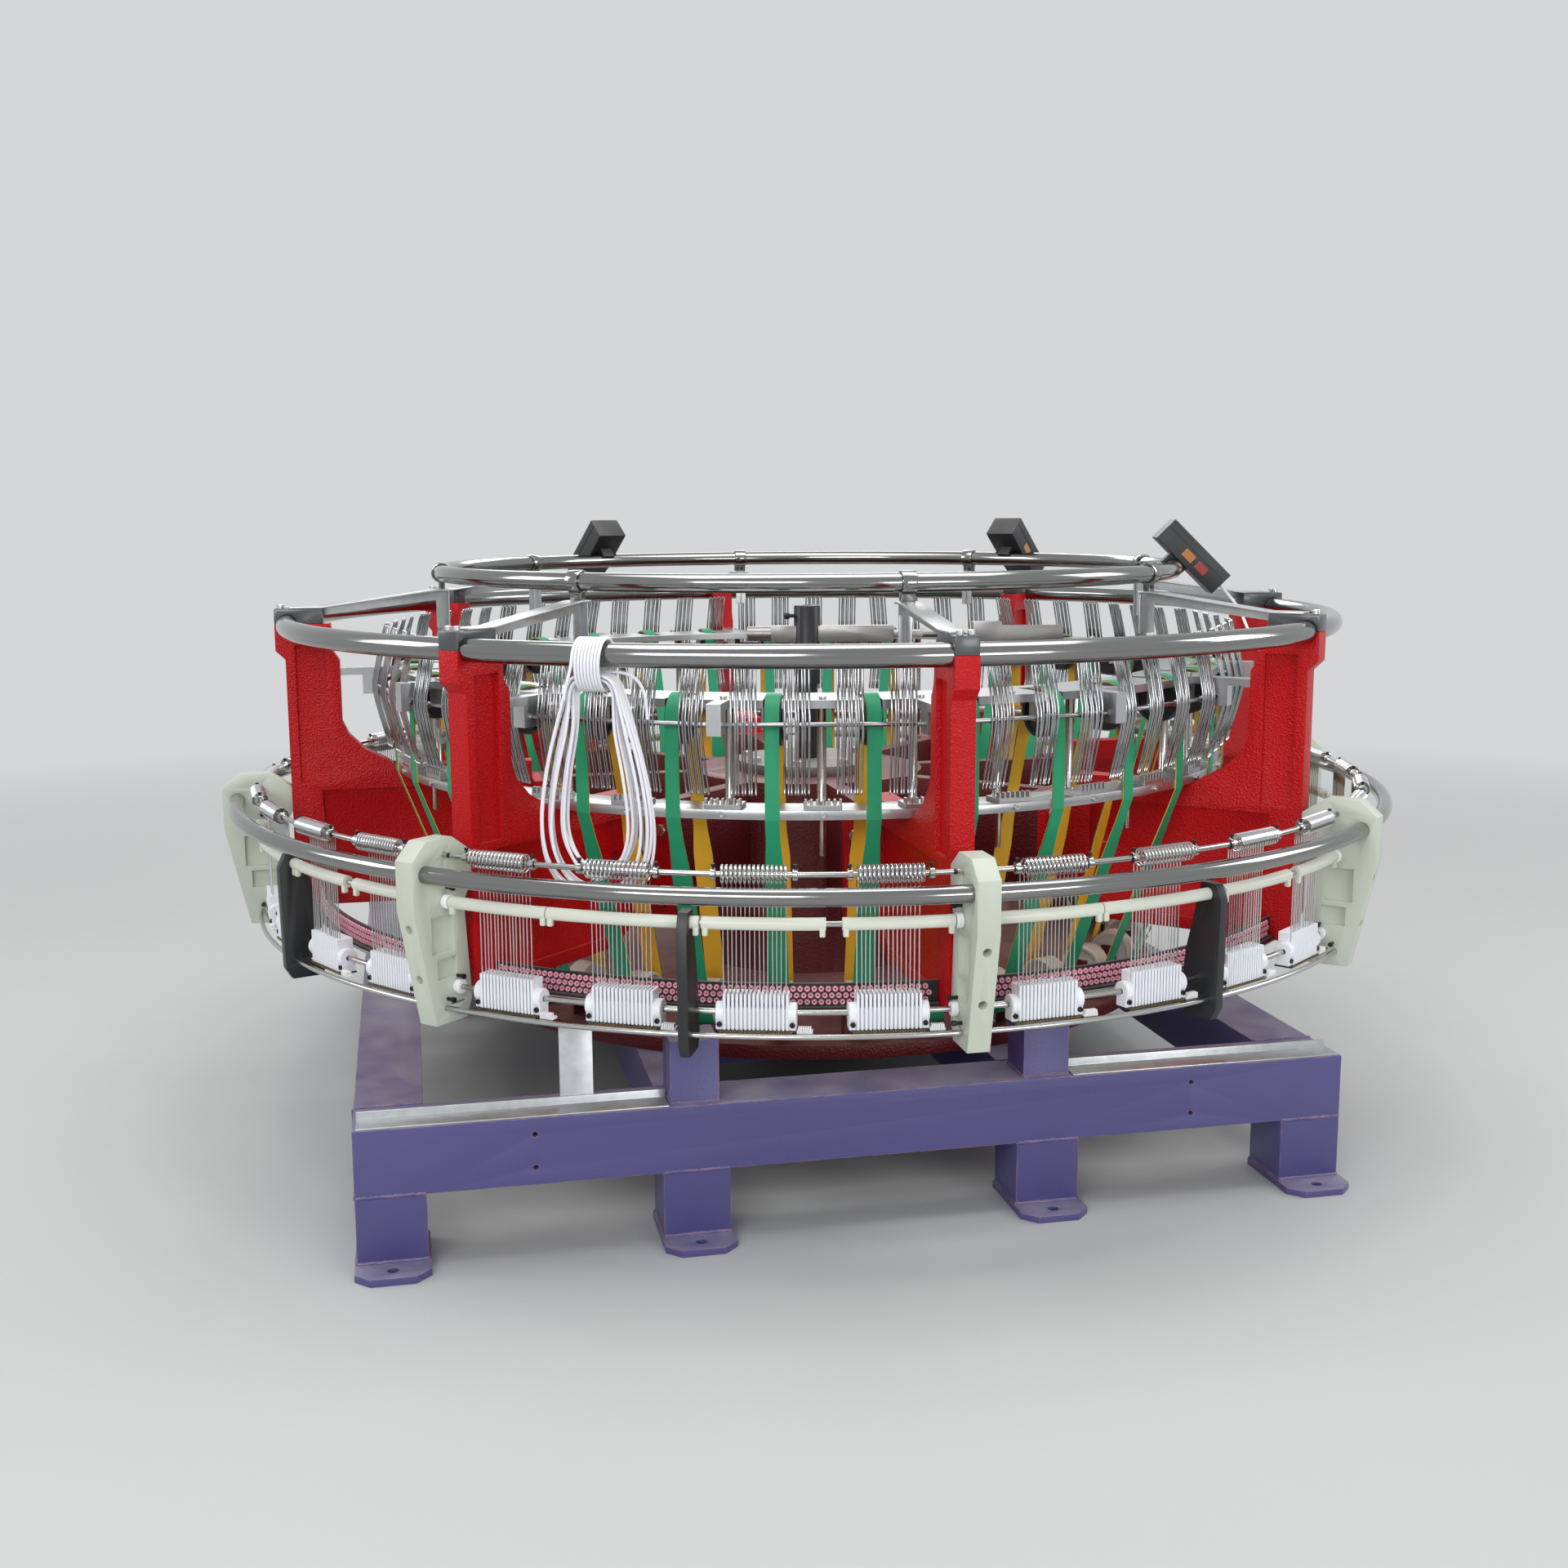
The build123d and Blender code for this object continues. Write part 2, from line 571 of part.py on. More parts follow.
with BuildPart() as notch:
    with Locations((UPPER_PLATE_IN_R + 28, 0, UPPER_PLATE_Z - 1)):
        Box(UPPER_PLATE_OUT_R - UPPER_PLATE_IN_R, 2 * top_ear - EAR_T, UPPER_PLATE_T + 2, align=OUT_UP)
with BuildPart() as upper_plate:
    with BuildSketch(Plane.XZ):
        with Locations(((UPPER_PLATE_IN_R + UPPER_PLATE_OUT_R) / 2, UPPER_PLATE_Z + UPPER_PLATE_T / 2)):
            Rectangle(UPPER_PLATE_OUT_R - UPPER_PLATE_IN_R, UPPER_PLATE_T)
    revolve(axis=Axis.Z)
    with PolarLocations(0, HOOK_ROWS):
        add(plate_tab.part)
    with PolarLocations(0, LANES, start_angle=LANE_DEG / 2):
        add(ears.part)
    with PolarLocations(0, LANES, start_angle=LANE_DEG / 2):
        add(notch.part, mode=Mode.SUBTRACT)
    # short ties reach from the plate to the posts
    with PolarLocations(0, SECTORS):
        with Locations((block_x + 10, 0, UPPER_PLATE_Z)):
            Box(POST_IN_R - block_x - 10, 24, UPPER_PLATE_T, align=OUT_UP)
save(upper_plate, "upper_ring_plate")

# Belts run over a top pulley, bend round the lower ring plate and round a bottom pulley
low_x, low_z = LOW_PULLEY_PLACE
with BuildPart() as top_pulley:
    with BuildSketch(radial_plane(0)):
        with Locations((pulley_x, pulley_z)):
            Circle(TOP_PULLEY_R)
    extrude(amount=TOP_PULLEY_W / 2, both=True)
    with BuildSketch(radial_plane(0)):
        with Locations((pulley_x, pulley_z)):
            Circle(PIN_R)
    extrude(amount=top_ear - EAR_T / 2, both=True)
ring_of(top_pulley.part, LANES, "top_pulleys", start=LANE_DEG / 2)

with BuildPart() as low_pulley:
    with BuildSketch(radial_plane(0)):
        with Locations((low_x, low_z)):
            Circle(LOW_PULLEY_R)
    extrude(amount=LOW_PULLEY_W / 2, both=True)
    with BuildSketch(radial_plane(0)):
        with Locations((low_x, low_z)):
            Circle(PIN_R)
    extrude(amount=low_ear - EAR_T / 2, both=True)
ring_of(low_pulley.part, LANES, "low_pulleys", start=LANE_DEG / 2)

inner_loop = [(PLATE_OUT_R, WEB_TOP_Z, 0), (pulley_x, pulley_z, TOP_PULLEY_R), (low_x, low_z, LOW_PULLEY_R)]
outer_loop = [(x, z, r + BELT_T) for x, z, r in inner_loop]
with BuildPart() as belt:
    with BuildSketch(radial_plane(0)):
        with BuildLine():
            draw_loop(outer_loop)
        make_face()
        with BuildLine():
            draw_loop(inner_loop)
        make_face(mode=Mode.SUBTRACT)
    extrude(amount=BELT_W_LOW / 2, both=True)
    trim = (BELT_W_LOW - BELT_W_TOP) / 2
    for side in (-1, 1):
        with Locations((low_x, side * (BELT_W_TOP + trim) / 2, BELT_STEP_Z)):
            Box(600, trim, 600, align=UP, mode=Mode.SUBTRACT)
ring_of(belt.part, LANES, "belts", start=LANE_DEG / 2)

# Hooks: bowed wires that lie against their straight pivot rod
slope = HOOK_BOW / HOOK_HALF
hook_x = HOOK_ROD_X + HOOK_ROD_R * math.sqrt(1 + slope ** 2)
hook_z = HOOK_ROD_Z
hook_outline = [(hook_x, hook_z), (hook_x - HOOK_BOW, hook_z + HOOK_HALF),
                (hook_x - HOOK_BOW + HOOK_T, hook_z + HOOK_HALF), (hook_x + HOOK_T, hook_z),
                (hook_x - HOOK_BOW + HOOK_T, hook_z - HOOK_HALF), (hook_x - HOOK_BOW, hook_z - HOOK_HALF)]
hook_places = [(0, (g - (GROUPS_IN_ROW - 1) / 2) * GROUP_PITCH + (i - (HOOKS_IN_GROUP - 1) / 2) * HOOK_PITCH, 0)
               for g in range(GROUPS_IN_ROW) for i in range(HOOKS_IN_GROUP)]
with BuildPart() as hook:
    with BuildSketch(radial_plane(0)):
        with BuildLine():
            Polyline(*hook_outline, close=True)
        make_face()
    extrude(amount=HOOK_W / 2, both=True)
with BuildPart() as hook_row:
    with Locations((HOOK_ROD_X, 0, HOOK_ROD_Z)):
        Cylinder(HOOK_ROD_R, 2 * rod_half, rotation=(90, 0, 0))
    with Locations(*hook_places):
        add(hook.part, clean=False)
for k in range(HOOK_ROWS):
    with BuildPart() as row:
        with Locations(turned((k + 0.5) * ROW_DEG)):
            add(hook_row.part, clean=False)
    save(row, f"hook_row_{k + 1:02d}")

# Main shaft with its hub sleeve, the arms on the hub and the bearings
shaft_bottom = PULLEY_BOTTOM - 12.0
with BuildPart() as main_shaft:
    with Locations((0, 0, shaft_bottom)):
        Cylinder(SHAFT_R, HUB_TOP - shaft_bottom, align=UP)
    with Locations((0, 0, HUB_BOTTOM)):
        Cylinder(HUB_R, HUB_TOP - HUB_BOTTOM, align=UP)
save(main_shaft, "main_shaft")

with BuildPart() as drive_arms:
    # the long arm: box bar, flat, round rod, block and end bar
    with Locations((HUB_R - 8, 0, ARM_Z - 17)):
        Box(180 - HUB_R + 8, 30, 34, align=OUT_UP)
    with Locations((180, 0, ARM_Z - 8)):
        Box(60, 44, 14, align=OUT_UP)
    with Locations((290, 0, ARM_Z - 1)):
        Cylinder(8, 110, rotation=(0, 90, 0))
    with Locations((345, 0, ARM_Z - 27)):
        Box(60, 40, 50, align=OUT_UP)
    with Locations((405, 0, ARM_Z - 17)):
        Box(130, 16, 32, align=OUT_UP)
    # the short arm on the other side: plate and round bar
    with Locations((-75, 0, ARM_Z - 17)):
        Box(75 - HUB_R + 8, 30, 34, align=OUT_UP)
    with Locations((-100, 0, ARM_Z)):
        Cylinder(15, 50, rotation=(0, 90, 0))
    with Locations((0, 0, HUB_BOTTOM)):
        Cylinder(HUB_R, HUB_TOP - HUB_BOTTOM, align=UP, mode=Mode.SUBTRACT)
with BuildPart() as arms:
    with Locations(turned(ARM_AZIMUTH)):
        add(drive_arms.part, clean=False)
save(arms, "drive_arms")

flange_r = 150.0
with BuildPart() as bearings:
    with Locations((0, 0, DRUM_TOP)):
        Cylinder(flange_r, 20, align=UP)
    with Locations((0, 0, DRUM_TOP - 40)):
        Cylinder(BORE_R, 40, align=UP)
    with Locations((0, 0, FRAME_TOP - 20)):
        Cylinder(flange_r, 20, align=UP)
    with Locations((0, 0, FRAME_TOP)):
        Cylinder(BORE_R, 40, align=UP)
    with Locations((0, 0, FRAME_TOP - 30)):
        Cylinder(SHAFT_R + RUN_FIT, DRUM_TOP - FRAME_TOP + 80, align=UP, mode=Mode.SUBTRACT)
save(bearings, "bearings")

# Drive under the frame: pulleys, belt, motor and its plate
with BuildPart() as main_pulley:
    with Locations((0, 0, PULLEY_BOTTOM)):
        Cylinder(MAIN_PULLEY_R, PULLEY_H, align=UP)
        Cylinder(SHAFT_R, PULLEY_H, align=UP, mode=Mode.SUBTRACT)
save(main_pulley, "main_pulley")

plate_z = FRAME_TOP - TUBE - MOTOR_PLATE_T
with BuildPart() as motor_plate:
    with Locations((FRAME_X + (-half_x - INNER_LEG_X + TUBE / 2) / 2, MOTOR_Y, plate_z)):
        Box(half_x - INNER_LEG_X + TUBE / 2, 280, MOTOR_PLATE_T, align=UP)
    with Locations((MOTOR_X, MOTOR_Y, plate_z)):
        Cylinder(30, 3 * MOTOR_PLATE_T, mode=Mode.SUBTRACT)
save(motor_plate, "motor_plate")

motor_z = plate_z + MOTOR_PLATE_T
bore_depth = 32.0
with BuildPart() as motor:
    with Locations((MOTOR_X, MOTOR_Y, motor_z)):
        Cylinder(MOTOR_R + 12, 14, align=UP)
        Cylinder(MOTOR_R, MOTOR_TOP - motor_z, align=UP)
    with Locations((MOTOR_X, MOTOR_Y + MOTOR_R, motor_z + 150)):
        Box(80, 70, 60)
    with Locations((MOTOR_X, MOTOR_Y, motor_z)):
        Cylinder(MOTOR_SHAFT_R + RUN_FIT, 2 * bore_depth, mode=Mode.SUBTRACT)
save(motor, "motor")

with BuildPart() as motor_pulley:
    with Locations((MOTOR_X, MOTOR_Y, PULLEY_BOTTOM)):
        Cylinder(MOTOR_PULLEY_R, PULLEY_H, align=UP)
    with Locations((MOTOR_X, MOTOR_Y, shaft_bottom)):
        Cylinder(MOTOR_SHAFT_R, motor_z + bore_depth - 2 - shaft_bottom, align=UP)
save(motor_pulley, "motor_pulley")

drive_loop = [(0, 0, MAIN_PULLEY_R + BELT_CLEAR), (MOTOR_X, MOTOR_Y, MOTOR_PULLEY_R + BELT_CLEAR)]
with BuildPart() as drive_belt:
    with BuildSketch(Plane.XY.offset(PULLEY_BOTTOM + 8)):
        with BuildLine():
            draw_loop([(x, y, r + 7) for x, y, r in drive_loop])
        make_face()
        with BuildLine():
            draw_loop(drive_loop)
        make_face(mode=Mode.SUBTRACT)
    extrude(amount=PULLEY_H - 16)
save(drive_belt, "drive_belt")

# Galvanised angle strips on the outer thirds of the front beam, the left one with an upright tab
strip_w = TUBE / 2 - 4
strip_in = INNER_LEG_X + UPRIGHT_W / 2 + 4
strip_out = half_x - 6
strip_back = strip_w - half_y
with BuildPart() as frame_sheets:
    for side in (-1, 1):
        middle = FRAME_X + side * (strip_in + strip_out) / 2
        with Locations((middle, strip_back - strip_w / 2, FRAME_TOP)):
            Box(strip_out - strip_in, strip_w - 4, 3, align=UP)
        with Locations((middle, strip_back - 3.5, FRAME_TOP)):
            Box(strip_out - strip_in, 3, 16, align=UP)
    with Locations((FRAME_X - 0.58 * half_x, strip_back - 0.5, FRAME_TOP)):
        Box(54, 3, 1.24 * UPRIGHT_H, align=UP)
save(frame_sheets, "frame_sheets")

# Bolt heads of the post feet and of the ring clamps
with BuildPart() as bolt_set:
    for y in (-48, 48):
        for z in (pad_bottom + 40, pad_bottom + pad_h - 40):
            with BuildSketch(facing_plane(foot_face, 0)):
                with Locations((y, z)):
                    RegularPolygon(12, 6)
            extrude(amount=10)
    with BuildSketch(Plane.XY.offset(cap_top)):
        with Locations((head_out - 12, -9), (head_out - 12, 9)):
            RegularPolygon(6.5, 6)
    extrude(amount=8)
ring_of(bolt_set.part, SECTORS, "bolts")

# Cable hank hung on the upper ring
hank_angle = -121.0
hank_top = UPPER_RING_Z - UPPER_TUBE_R - 6.0
with BuildPart() as cable_hank:
    with BuildSketch(facing_plane(UPPER_RING_R + 5, hank_angle)):
        with BuildLine():
            draw_loop([(0, hank_top, 24), (6, hank_top - 175, 82), (10, hank_top - 259, 78)][::-1])
        make_face()
    extrude(amount=20, both=True)
    with Locations(turned(hank_angle)):
        with Locations((UPPER_RING_R, 0, UPPER_RING_Z - 4)):
            Box(74, 54, 70)
    add(upper_ring.part, mode=Mode.SUBTRACT)
save(cable_hank, "cable_hank")

# Cable of the first sensor box, down to the side of a post
cable_r = 3.0
tilt = math.radians(45)
box_out = math.cos(tilt) * box_l / 2
start_r = TOP_RING_R + 40 + box_out
start_z = TOP_RING_Z + 22 - box_out
post_spin = math.radians(-SECTOR_DEG)
side = POST_T / 2


def post_point(radius, off, z):
    # a place beside the post at -SECTOR_DEG, off measured from its mid plane
    return (radius * math.cos(post_spin) - off * math.sin(post_spin),
            radius * math.sin(post_spin) + off * math.cos(post_spin), z)


def route_point(radius, angle, z):
    # on the way between the hooks and the posts
    a = math.radians(angle)
    return (radius * math.cos(a), radius * math.sin(a), z)


cable_end_r = POST_IN_R + 22
cable_end_z = head_z - 29
cable_points = [route_point(start_r, box_angles[0], start_z),
                route_point(start_r + 42, box_angles[0], start_z - 42),
                route_point(cable_end_r - 74, -20.0, cable_end_z + 54),
                route_point(cable_end_r - 57, -24.5, cable_end_z + 22),
                route_point(cable_end_r - 39, -29.3, cable_end_z + 4),
                route_point(cable_end_r - 22, -33.8, cable_end_z - 6),
                route_point(cable_end_r - 7, -38.0, cable_end_z - 8),
                post_point(cable_end_r, side + 50, cable_end_z - 4),
                post_point(cable_end_r, side, cable_end_z)]


def bend_radii(points):
    # a tangent arc at each corner takes up 0.45 of the shorter run beside it
    radii = []
    for a, b, c in zip(points, points[1:], points[2:]):
        first = Vector(*b) - Vector(*a)
        second = Vector(*c) - Vector(*b)
        half_turn = math.radians(first.get_angle(second)) / 2
        radii.append(0.45 * min(first.length, second.length) / math.tan(half_turn))
    return radii


cable_radii = bend_radii(cable_points)
print("sensor cable bend radii", [round(r, 1) for r in cable_radii])
with BuildPart() as sensor_cable:
    with BuildLine() as cable_path:
        FilletPolyline(*cable_points, radius=cable_radii)
    start_dir = Vector(*cable_points[1]) - Vector(*cable_points[0])
    with BuildSketch(Plane(origin=cable_points[0], z_dir=start_dir)):
        Circle(cable_r)
    sweep()
save(sensor_cable, "sensor_cable")
print("sensor cable length", round(cable_path.wire().length, 1), "volume", round(sensor_cable.part.volume, 1),
      "section times length", round(math.pi * cable_r ** 2 * cable_path.wire().length, 1))
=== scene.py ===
# %% [markdown]
# # A circular loom, dressed for its portrait
# The CAD model brings every ring, post, pulley and hook at its real size. This notebook loads it as a
# fixed frame, gives each piece its finish, and swaps the plain CAD stand-ins for detailed pieces:
# springs of real wire, hairpin hooks, grooved comb blocks, two-coloured belts and a hank of cable.
# Everything is in metres, in the CAD model's own frame: the axis of the loom is Z, the front faces -Y.

# %% Load the frame and keep its size
import random
from math import asin, atan2, copysign, cos, hypot, pi, radians, sin, sqrt, tan

import bmesh
import bpy
from mathutils import Matrix, Vector


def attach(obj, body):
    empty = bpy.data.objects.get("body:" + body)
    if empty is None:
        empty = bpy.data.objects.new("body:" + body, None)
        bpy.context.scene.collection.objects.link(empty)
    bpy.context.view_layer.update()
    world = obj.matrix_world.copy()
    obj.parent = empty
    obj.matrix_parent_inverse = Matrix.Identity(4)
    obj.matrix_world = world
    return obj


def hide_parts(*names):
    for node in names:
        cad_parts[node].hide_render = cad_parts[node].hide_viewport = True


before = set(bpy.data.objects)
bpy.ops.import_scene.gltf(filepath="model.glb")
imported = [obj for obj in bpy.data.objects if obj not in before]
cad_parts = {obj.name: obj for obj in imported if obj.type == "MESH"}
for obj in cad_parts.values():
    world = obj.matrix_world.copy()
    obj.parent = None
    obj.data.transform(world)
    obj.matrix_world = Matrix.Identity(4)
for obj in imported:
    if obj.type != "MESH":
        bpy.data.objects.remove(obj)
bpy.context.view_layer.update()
scene = bpy.context.scene


def new_object(name, data):
    piece = bpy.data.objects.new(name, data)
    scene.collection.objects.link(piece)
    return piece


# %% [markdown]
# ## The camera
# The photograph was taken from chest height with a moderately wide lens, a little left of the loom and
# looking down at it. The place, pitch and lens come from fitting the four visible rings, whose radii
# and heights are known, to their curves in the picture, so that the same view shows the same overlaps.

# %% Camera at the photograph's viewing angle
CAMERA_PLACE = Vector((-0.818, -3.548, 1.179))
YAW, PITCH, ROLL = radians(12.2), radians(9.0), radians(-0.3)
camera = new_object("camera", bpy.data.cameras.new("camera"))
camera.data.lens = 40.0
camera.data.sensor_width = 36.0
aim = Vector((sin(YAW) * cos(PITCH), cos(YAW) * cos(PITCH), -sin(PITCH)))
camera.location = CAMERA_PLACE
camera.rotation_euler = (aim.to_track_quat("-Z", "Y").to_matrix() @ Matrix.Rotation(ROLL, 3, "Z")).to_euler()
scene.camera = camera
print("camera at", tuple(round(v, 2) for v in CAMERA_PLACE))

# %% [markdown]
# ## Sizes shared by the pieces
# The loom repeats in eight sectors: posts at every 45 degrees, and four lanes between two posts, each
# with its belt, springs and comb block. Naming the radii and heights once keeps every piece on the
# part of the frame that carries it.

# %% Radii and heights, in metres
SECTORS, LANES, ROWS = 8, 32, 16
UPPER_R, UPPER_Z, UPPER_TUBE = 1.045, 0.96, 0.019
TOP_R, TOP_Z, TOP_TUBE = 0.745, 1.056, 0.016
LOWER_R, LOWER_Z, LOWER_TUBE = 1.155, 0.617, 0.014
SPRING_R, SPRING_Z = 1.112, 0.642
TUBE_Z, GUIDE_TUBE = 0.567, 0.01
COMB_R, COMB_Z = 1.09, 0.424
BOTTOM_R, BOTTOM_Z, ROD = 1.118, 0.394, 0.0045
STRIP_TOP, PLATE_TOP = 0.399, 0.692


# %% Places round the axis
def at(x, y, z):
    return Matrix.Translation((x, y, z))


def tilt(degrees, axis):
    return Matrix.Rotation(radians(degrees), 4, axis)


def spin(degrees):
    return tilt(degrees, "Z")


def polar(radius, degrees, z):
    a = radians(degrees)
    return Vector((radius * cos(a), radius * sin(a), z))


def radial_place(degrees, radius, off, z, up=0.0):
    # local Z points outward from the axis and rises by up degrees
    return spin(degrees) @ at(radius, off, z) @ tilt(90 - up, "Y")


def along_place(degrees, radius, off, z, way=1):
    # local Z points along the ring
    return spin(degrees) @ at(radius, off, z) @ tilt(-90 * way, "X")


# %% [markdown]
# ## Mesh helpers
# Small loops of bmesh code make the basic forms: a bevelled bar, a turned profile and a wire swept
# along points. Each writes into one bmesh, so a whole set of parts becomes one object with one finish.

# %% Bars, turned parts and wires
def add_bar(bm, size, place, bevel=0.0, segments=2):
    made = bmesh.ops.create_cube(bm, size=1.0, matrix=place @ Matrix.Diagonal((*size, 1.0)))["verts"]
    if bevel > 0:
        edges = list({e for v in made for e in v.link_edges})
        bmesh.ops.bevel(bm, geom=edges, offset=bevel, segments=segments, affect="EDGES", profile=0.5)


def add_turned(bm, profile, place, steps=24):
    # profile is (radius, height) from bottom to top; it starts and ends on the axis or closes on itself
    rings = []
    for r, h in profile:
        if r < 1e-7:
            rings.append([bm.verts.new(place @ Vector((0, 0, h)))])
        else:
            rings.append([bm.verts.new(place @ Vector((r * cos(a), r * sin(a), h)))
                          for a in (2 * pi * i / steps for i in range(steps))])
    for low, high in zip(rings, rings[1:]):
        for i in range(steps):
            j = (i + 1) % steps
            if len(low) == 1 and len(high) > 1:
                bm.faces.new((low[0], high[j], high[i]))
            elif len(high) == 1 and len(low) > 1:
                bm.faces.new((low[i], low[j], high[0]))
            elif len(low) > 1:
                bm.faces.new((low[i], low[j], high[j], high[i]))


def add_wire(bm, points, radius, sides=8, closed=False):
    points = [Vector(p) for p in points]
    n = len(points)
    rings = []
    side = None
    for i, p in enumerate(points):
        before = points[(i - 1) % n] if closed or i else p
        after = points[(i + 1) % n] if closed or i < n - 1 else p
        along = (after - before).normalized()
        if side is None:
            side = along.orthogonal().normalized()
        side = (side - along * side.dot(along)).normalized()
        up = along.cross(side)
        rings.append([bm.verts.new(p + radius * (cos(a) * side + sin(a) * up))
                      for a in (2 * pi * k / sides for k in range(sides))])
    pairs = list(zip(rings, rings[1:])) + ([(rings[-1], rings[0])] if closed else [])
    for low, high in pairs:
        for k in range(sides):
            m = (k + 1) % sides
            bm.faces.new((low[k], low[m], high[m], high[k]))
    if not closed:
        bm.faces.new(rings[0][::-1])
        bm.faces.new(rings[-1])


def hexagon_head(bm, place, across, height):
    add_turned(bm, [(0, 0), (across * 0.68, 0), (across * 0.68, 0.0012), (across * 0.6, 0.0014)], place, 18)
    add_turned(
        bm, [(across * 0.577, 0.001), (across * 0.577, height * 0.85), (across * 0.5, height), (0, height)],
        place, 6)


# %% Finished objects
def smooth_by_angle(mesh, degrees=35):
    for polygon in mesh.polygons:
        polygon.use_smooth = True
    mesh.set_sharp_from_angle(angle=radians(degrees))


def show(name, mesh, material, body="root", slot=None, stands_for=()):
    piece = new_object(name, mesh)
    mesh.materials.clear()
    mesh.materials.append(material)
    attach(piece, body)
    if stands_for:
        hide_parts(*stands_for)
    return piece


def mesh_of(bm, name, degrees=35, outward=True):
    if outward:
        bmesh.ops.recalc_face_normals(bm, faces=bm.faces)
    mesh = bpy.data.meshes.new(name)
    bm.to_mesh(mesh)
    bm.free()
    smooth_by_angle(mesh, degrees)
    return mesh


def show_one(name, bm, material, degrees=35, **told):
    return show(name, mesh_of(bm, name, degrees), material, **told)


# %% [markdown]
# ## Shared shading effects
# Paint, castings and plastics all change tone a little, collect dust on top and wear on their edges.
# Each effect is one node group with named inputs, so every finish can reuse it with its own values.
# The groups hand out only colours, masks and heights; the shader itself stays in each material.

# %% Makers of groups, links and nodes
COLOR, FLOAT, GEOMETRY = "NodeSocketColor", "NodeSocketFloat", "NodeSocketGeometry"
GREY = (0.5, 0.5, 0.5, 1)


def new_group(name, inputs, outputs, kind="ShaderNodeTree"):
    group = bpy.data.node_groups.new(name, kind)
    for label, socket_kind, *value in inputs:
        socket = group.interface.new_socket(label, in_out="INPUT", socket_type=socket_kind)
        if value:
            socket.default_value = value[0]
    for label, socket_kind in outputs:
        group.interface.new_socket(label, in_out="OUTPUT", socket_type=socket_kind)
    return group, group.nodes.new("NodeGroupInput"), group.nodes.new("NodeGroupOutput")


def link(tree, *pairs):
    for start, end in pairs:
        tree.links.new(start, end)


def feed(tree, value, socket):
    # value is another node's socket, or a plain number or colour
    if isinstance(value, bpy.types.NodeSocket):
        tree.links.new(value, socket)
    else:
        socket.default_value = value


def math_node(tree, operation, a, b=0.5, clamp=False):
    node = tree.nodes.new("ShaderNodeMath")
    node.operation = operation
    node.use_clamp = clamp
    feed(tree, a, node.inputs[0])
    feed(tree, b, node.inputs[1])
    return node.outputs[0]


def mix_colors(tree, share, first, second):
    mix = tree.nodes.new("ShaderNodeMix")
    mix.data_type = "RGBA"
    for value, socket in ((share, mix.inputs["Factor"]), (first, mix.inputs[6]), (second, mix.inputs[7])):
        feed(tree, value, socket)
    return mix.outputs[2]


def here(tree):
    return tree.nodes.new("ShaderNodeTexCoord").outputs["Object"]


def noise_at(tree, place, scale, detail):
    noise = tree.nodes.new("ShaderNodeTexNoise")
    noise.inputs["Detail"].default_value = detail
    feed(tree, scale, noise.inputs["Scale"])
    link(tree, (place, noise.inputs["Vector"]))
    return noise.outputs[0]


def patches_over(tree, mask, scale, amount, low=0.0, contrast=1.0):
    # a mask broken up by noise, then weighed by the group's Amount
    patch = noise_at(tree, here(tree), scale, 3.0)
    if low:
        patch = math_node(tree, "SUBTRACT", patch, low)
        patch = math_node(tree, "MULTIPLY", patch, contrast, clamp=True)
    return math_node(tree, "MULTIPLY", math_node(tree, "MULTIPLY", mask, patch), amount, clamp=True)


# %% Tone: slow changes of brightness across a surface
tone_group, source, result = new_group(
    "tone", [("Color", COLOR, GREY), ("Scale", FLOAT, 6.0), ("Spread", FLOAT, 0.15)], [("Color", COLOR)])
noise = noise_at(tone_group, here(tone_group), source.outputs["Scale"], 4.0)
centred = math_node(tone_group, "MULTIPLY", math_node(tone_group, "SUBTRACT", noise, 0.5), 2.0)
change = math_node(tone_group, "MULTIPLY", centred, source.outputs["Spread"])
shift = tone_group.nodes.new("ShaderNodeHueSaturation")
link(tone_group, (math_node(tone_group, "ADD", change, 1.0), shift.inputs["Value"]),
     (source.outputs["Color"], shift.inputs["Color"]), (shift.outputs["Color"], result.inputs["Color"]))

# %% Grain: a fine bump height, from orange peel to cast iron
grain_group, source, result = new_group(
    "grain", [("Scale", FLOAT, 300.0), ("Lumps", FLOAT, 0.5)], [("Height", FLOAT), ("Mask", FLOAT)])
noise = noise_at(grain_group, here(grain_group), source.outputs["Scale"], 2.0)
cells = grain_group.nodes.new("ShaderNodeTexVoronoi")
link(
    grain_group, (here(grain_group), cells.inputs["Vector"]),
    (source.outputs["Scale"], cells.inputs["Scale"]))
lumps = math_node(grain_group, "MULTIPLY", cells.outputs["Distance"], source.outputs["Lumps"])
link(grain_group, (math_node(grain_group, "ADD", noise, lumps), result.inputs["Height"]),
     (noise, result.inputs["Mask"]))

# %% Edge wear: finds edges with a Bevel node and rubs them through in patches
wear_group, source, result = new_group(
    "edge_wear", [("Color", COLOR, GREY), ("Worn Color", COLOR, (0.8, 0.8, 0.8, 1)), ("Width", FLOAT, 0.002),
    ("Amount", FLOAT, 0.5)], [("Color", COLOR)])
edge = wear_group.nodes.new("ShaderNodeBevel")
edge.samples = 2
flat = wear_group.nodes.new("ShaderNodeNewGeometry")
likeness = wear_group.nodes.new("ShaderNodeVectorMath")
likeness.operation = "DOT_PRODUCT"
link(wear_group, (source.outputs["Width"], edge.inputs["Radius"]), (edge.outputs[0], likeness.inputs[0]),
     (flat.outputs["Normal"], likeness.inputs[1]))
rounding = math_node(wear_group, "SUBTRACT", 1.0, likeness.outputs["Value"])
found = math_node(wear_group, "MULTIPLY", rounding, 9.0, clamp=True)
rubbed = patches_over(wear_group, found, 28.0, source.outputs["Amount"], low=0.42, contrast=7.0)
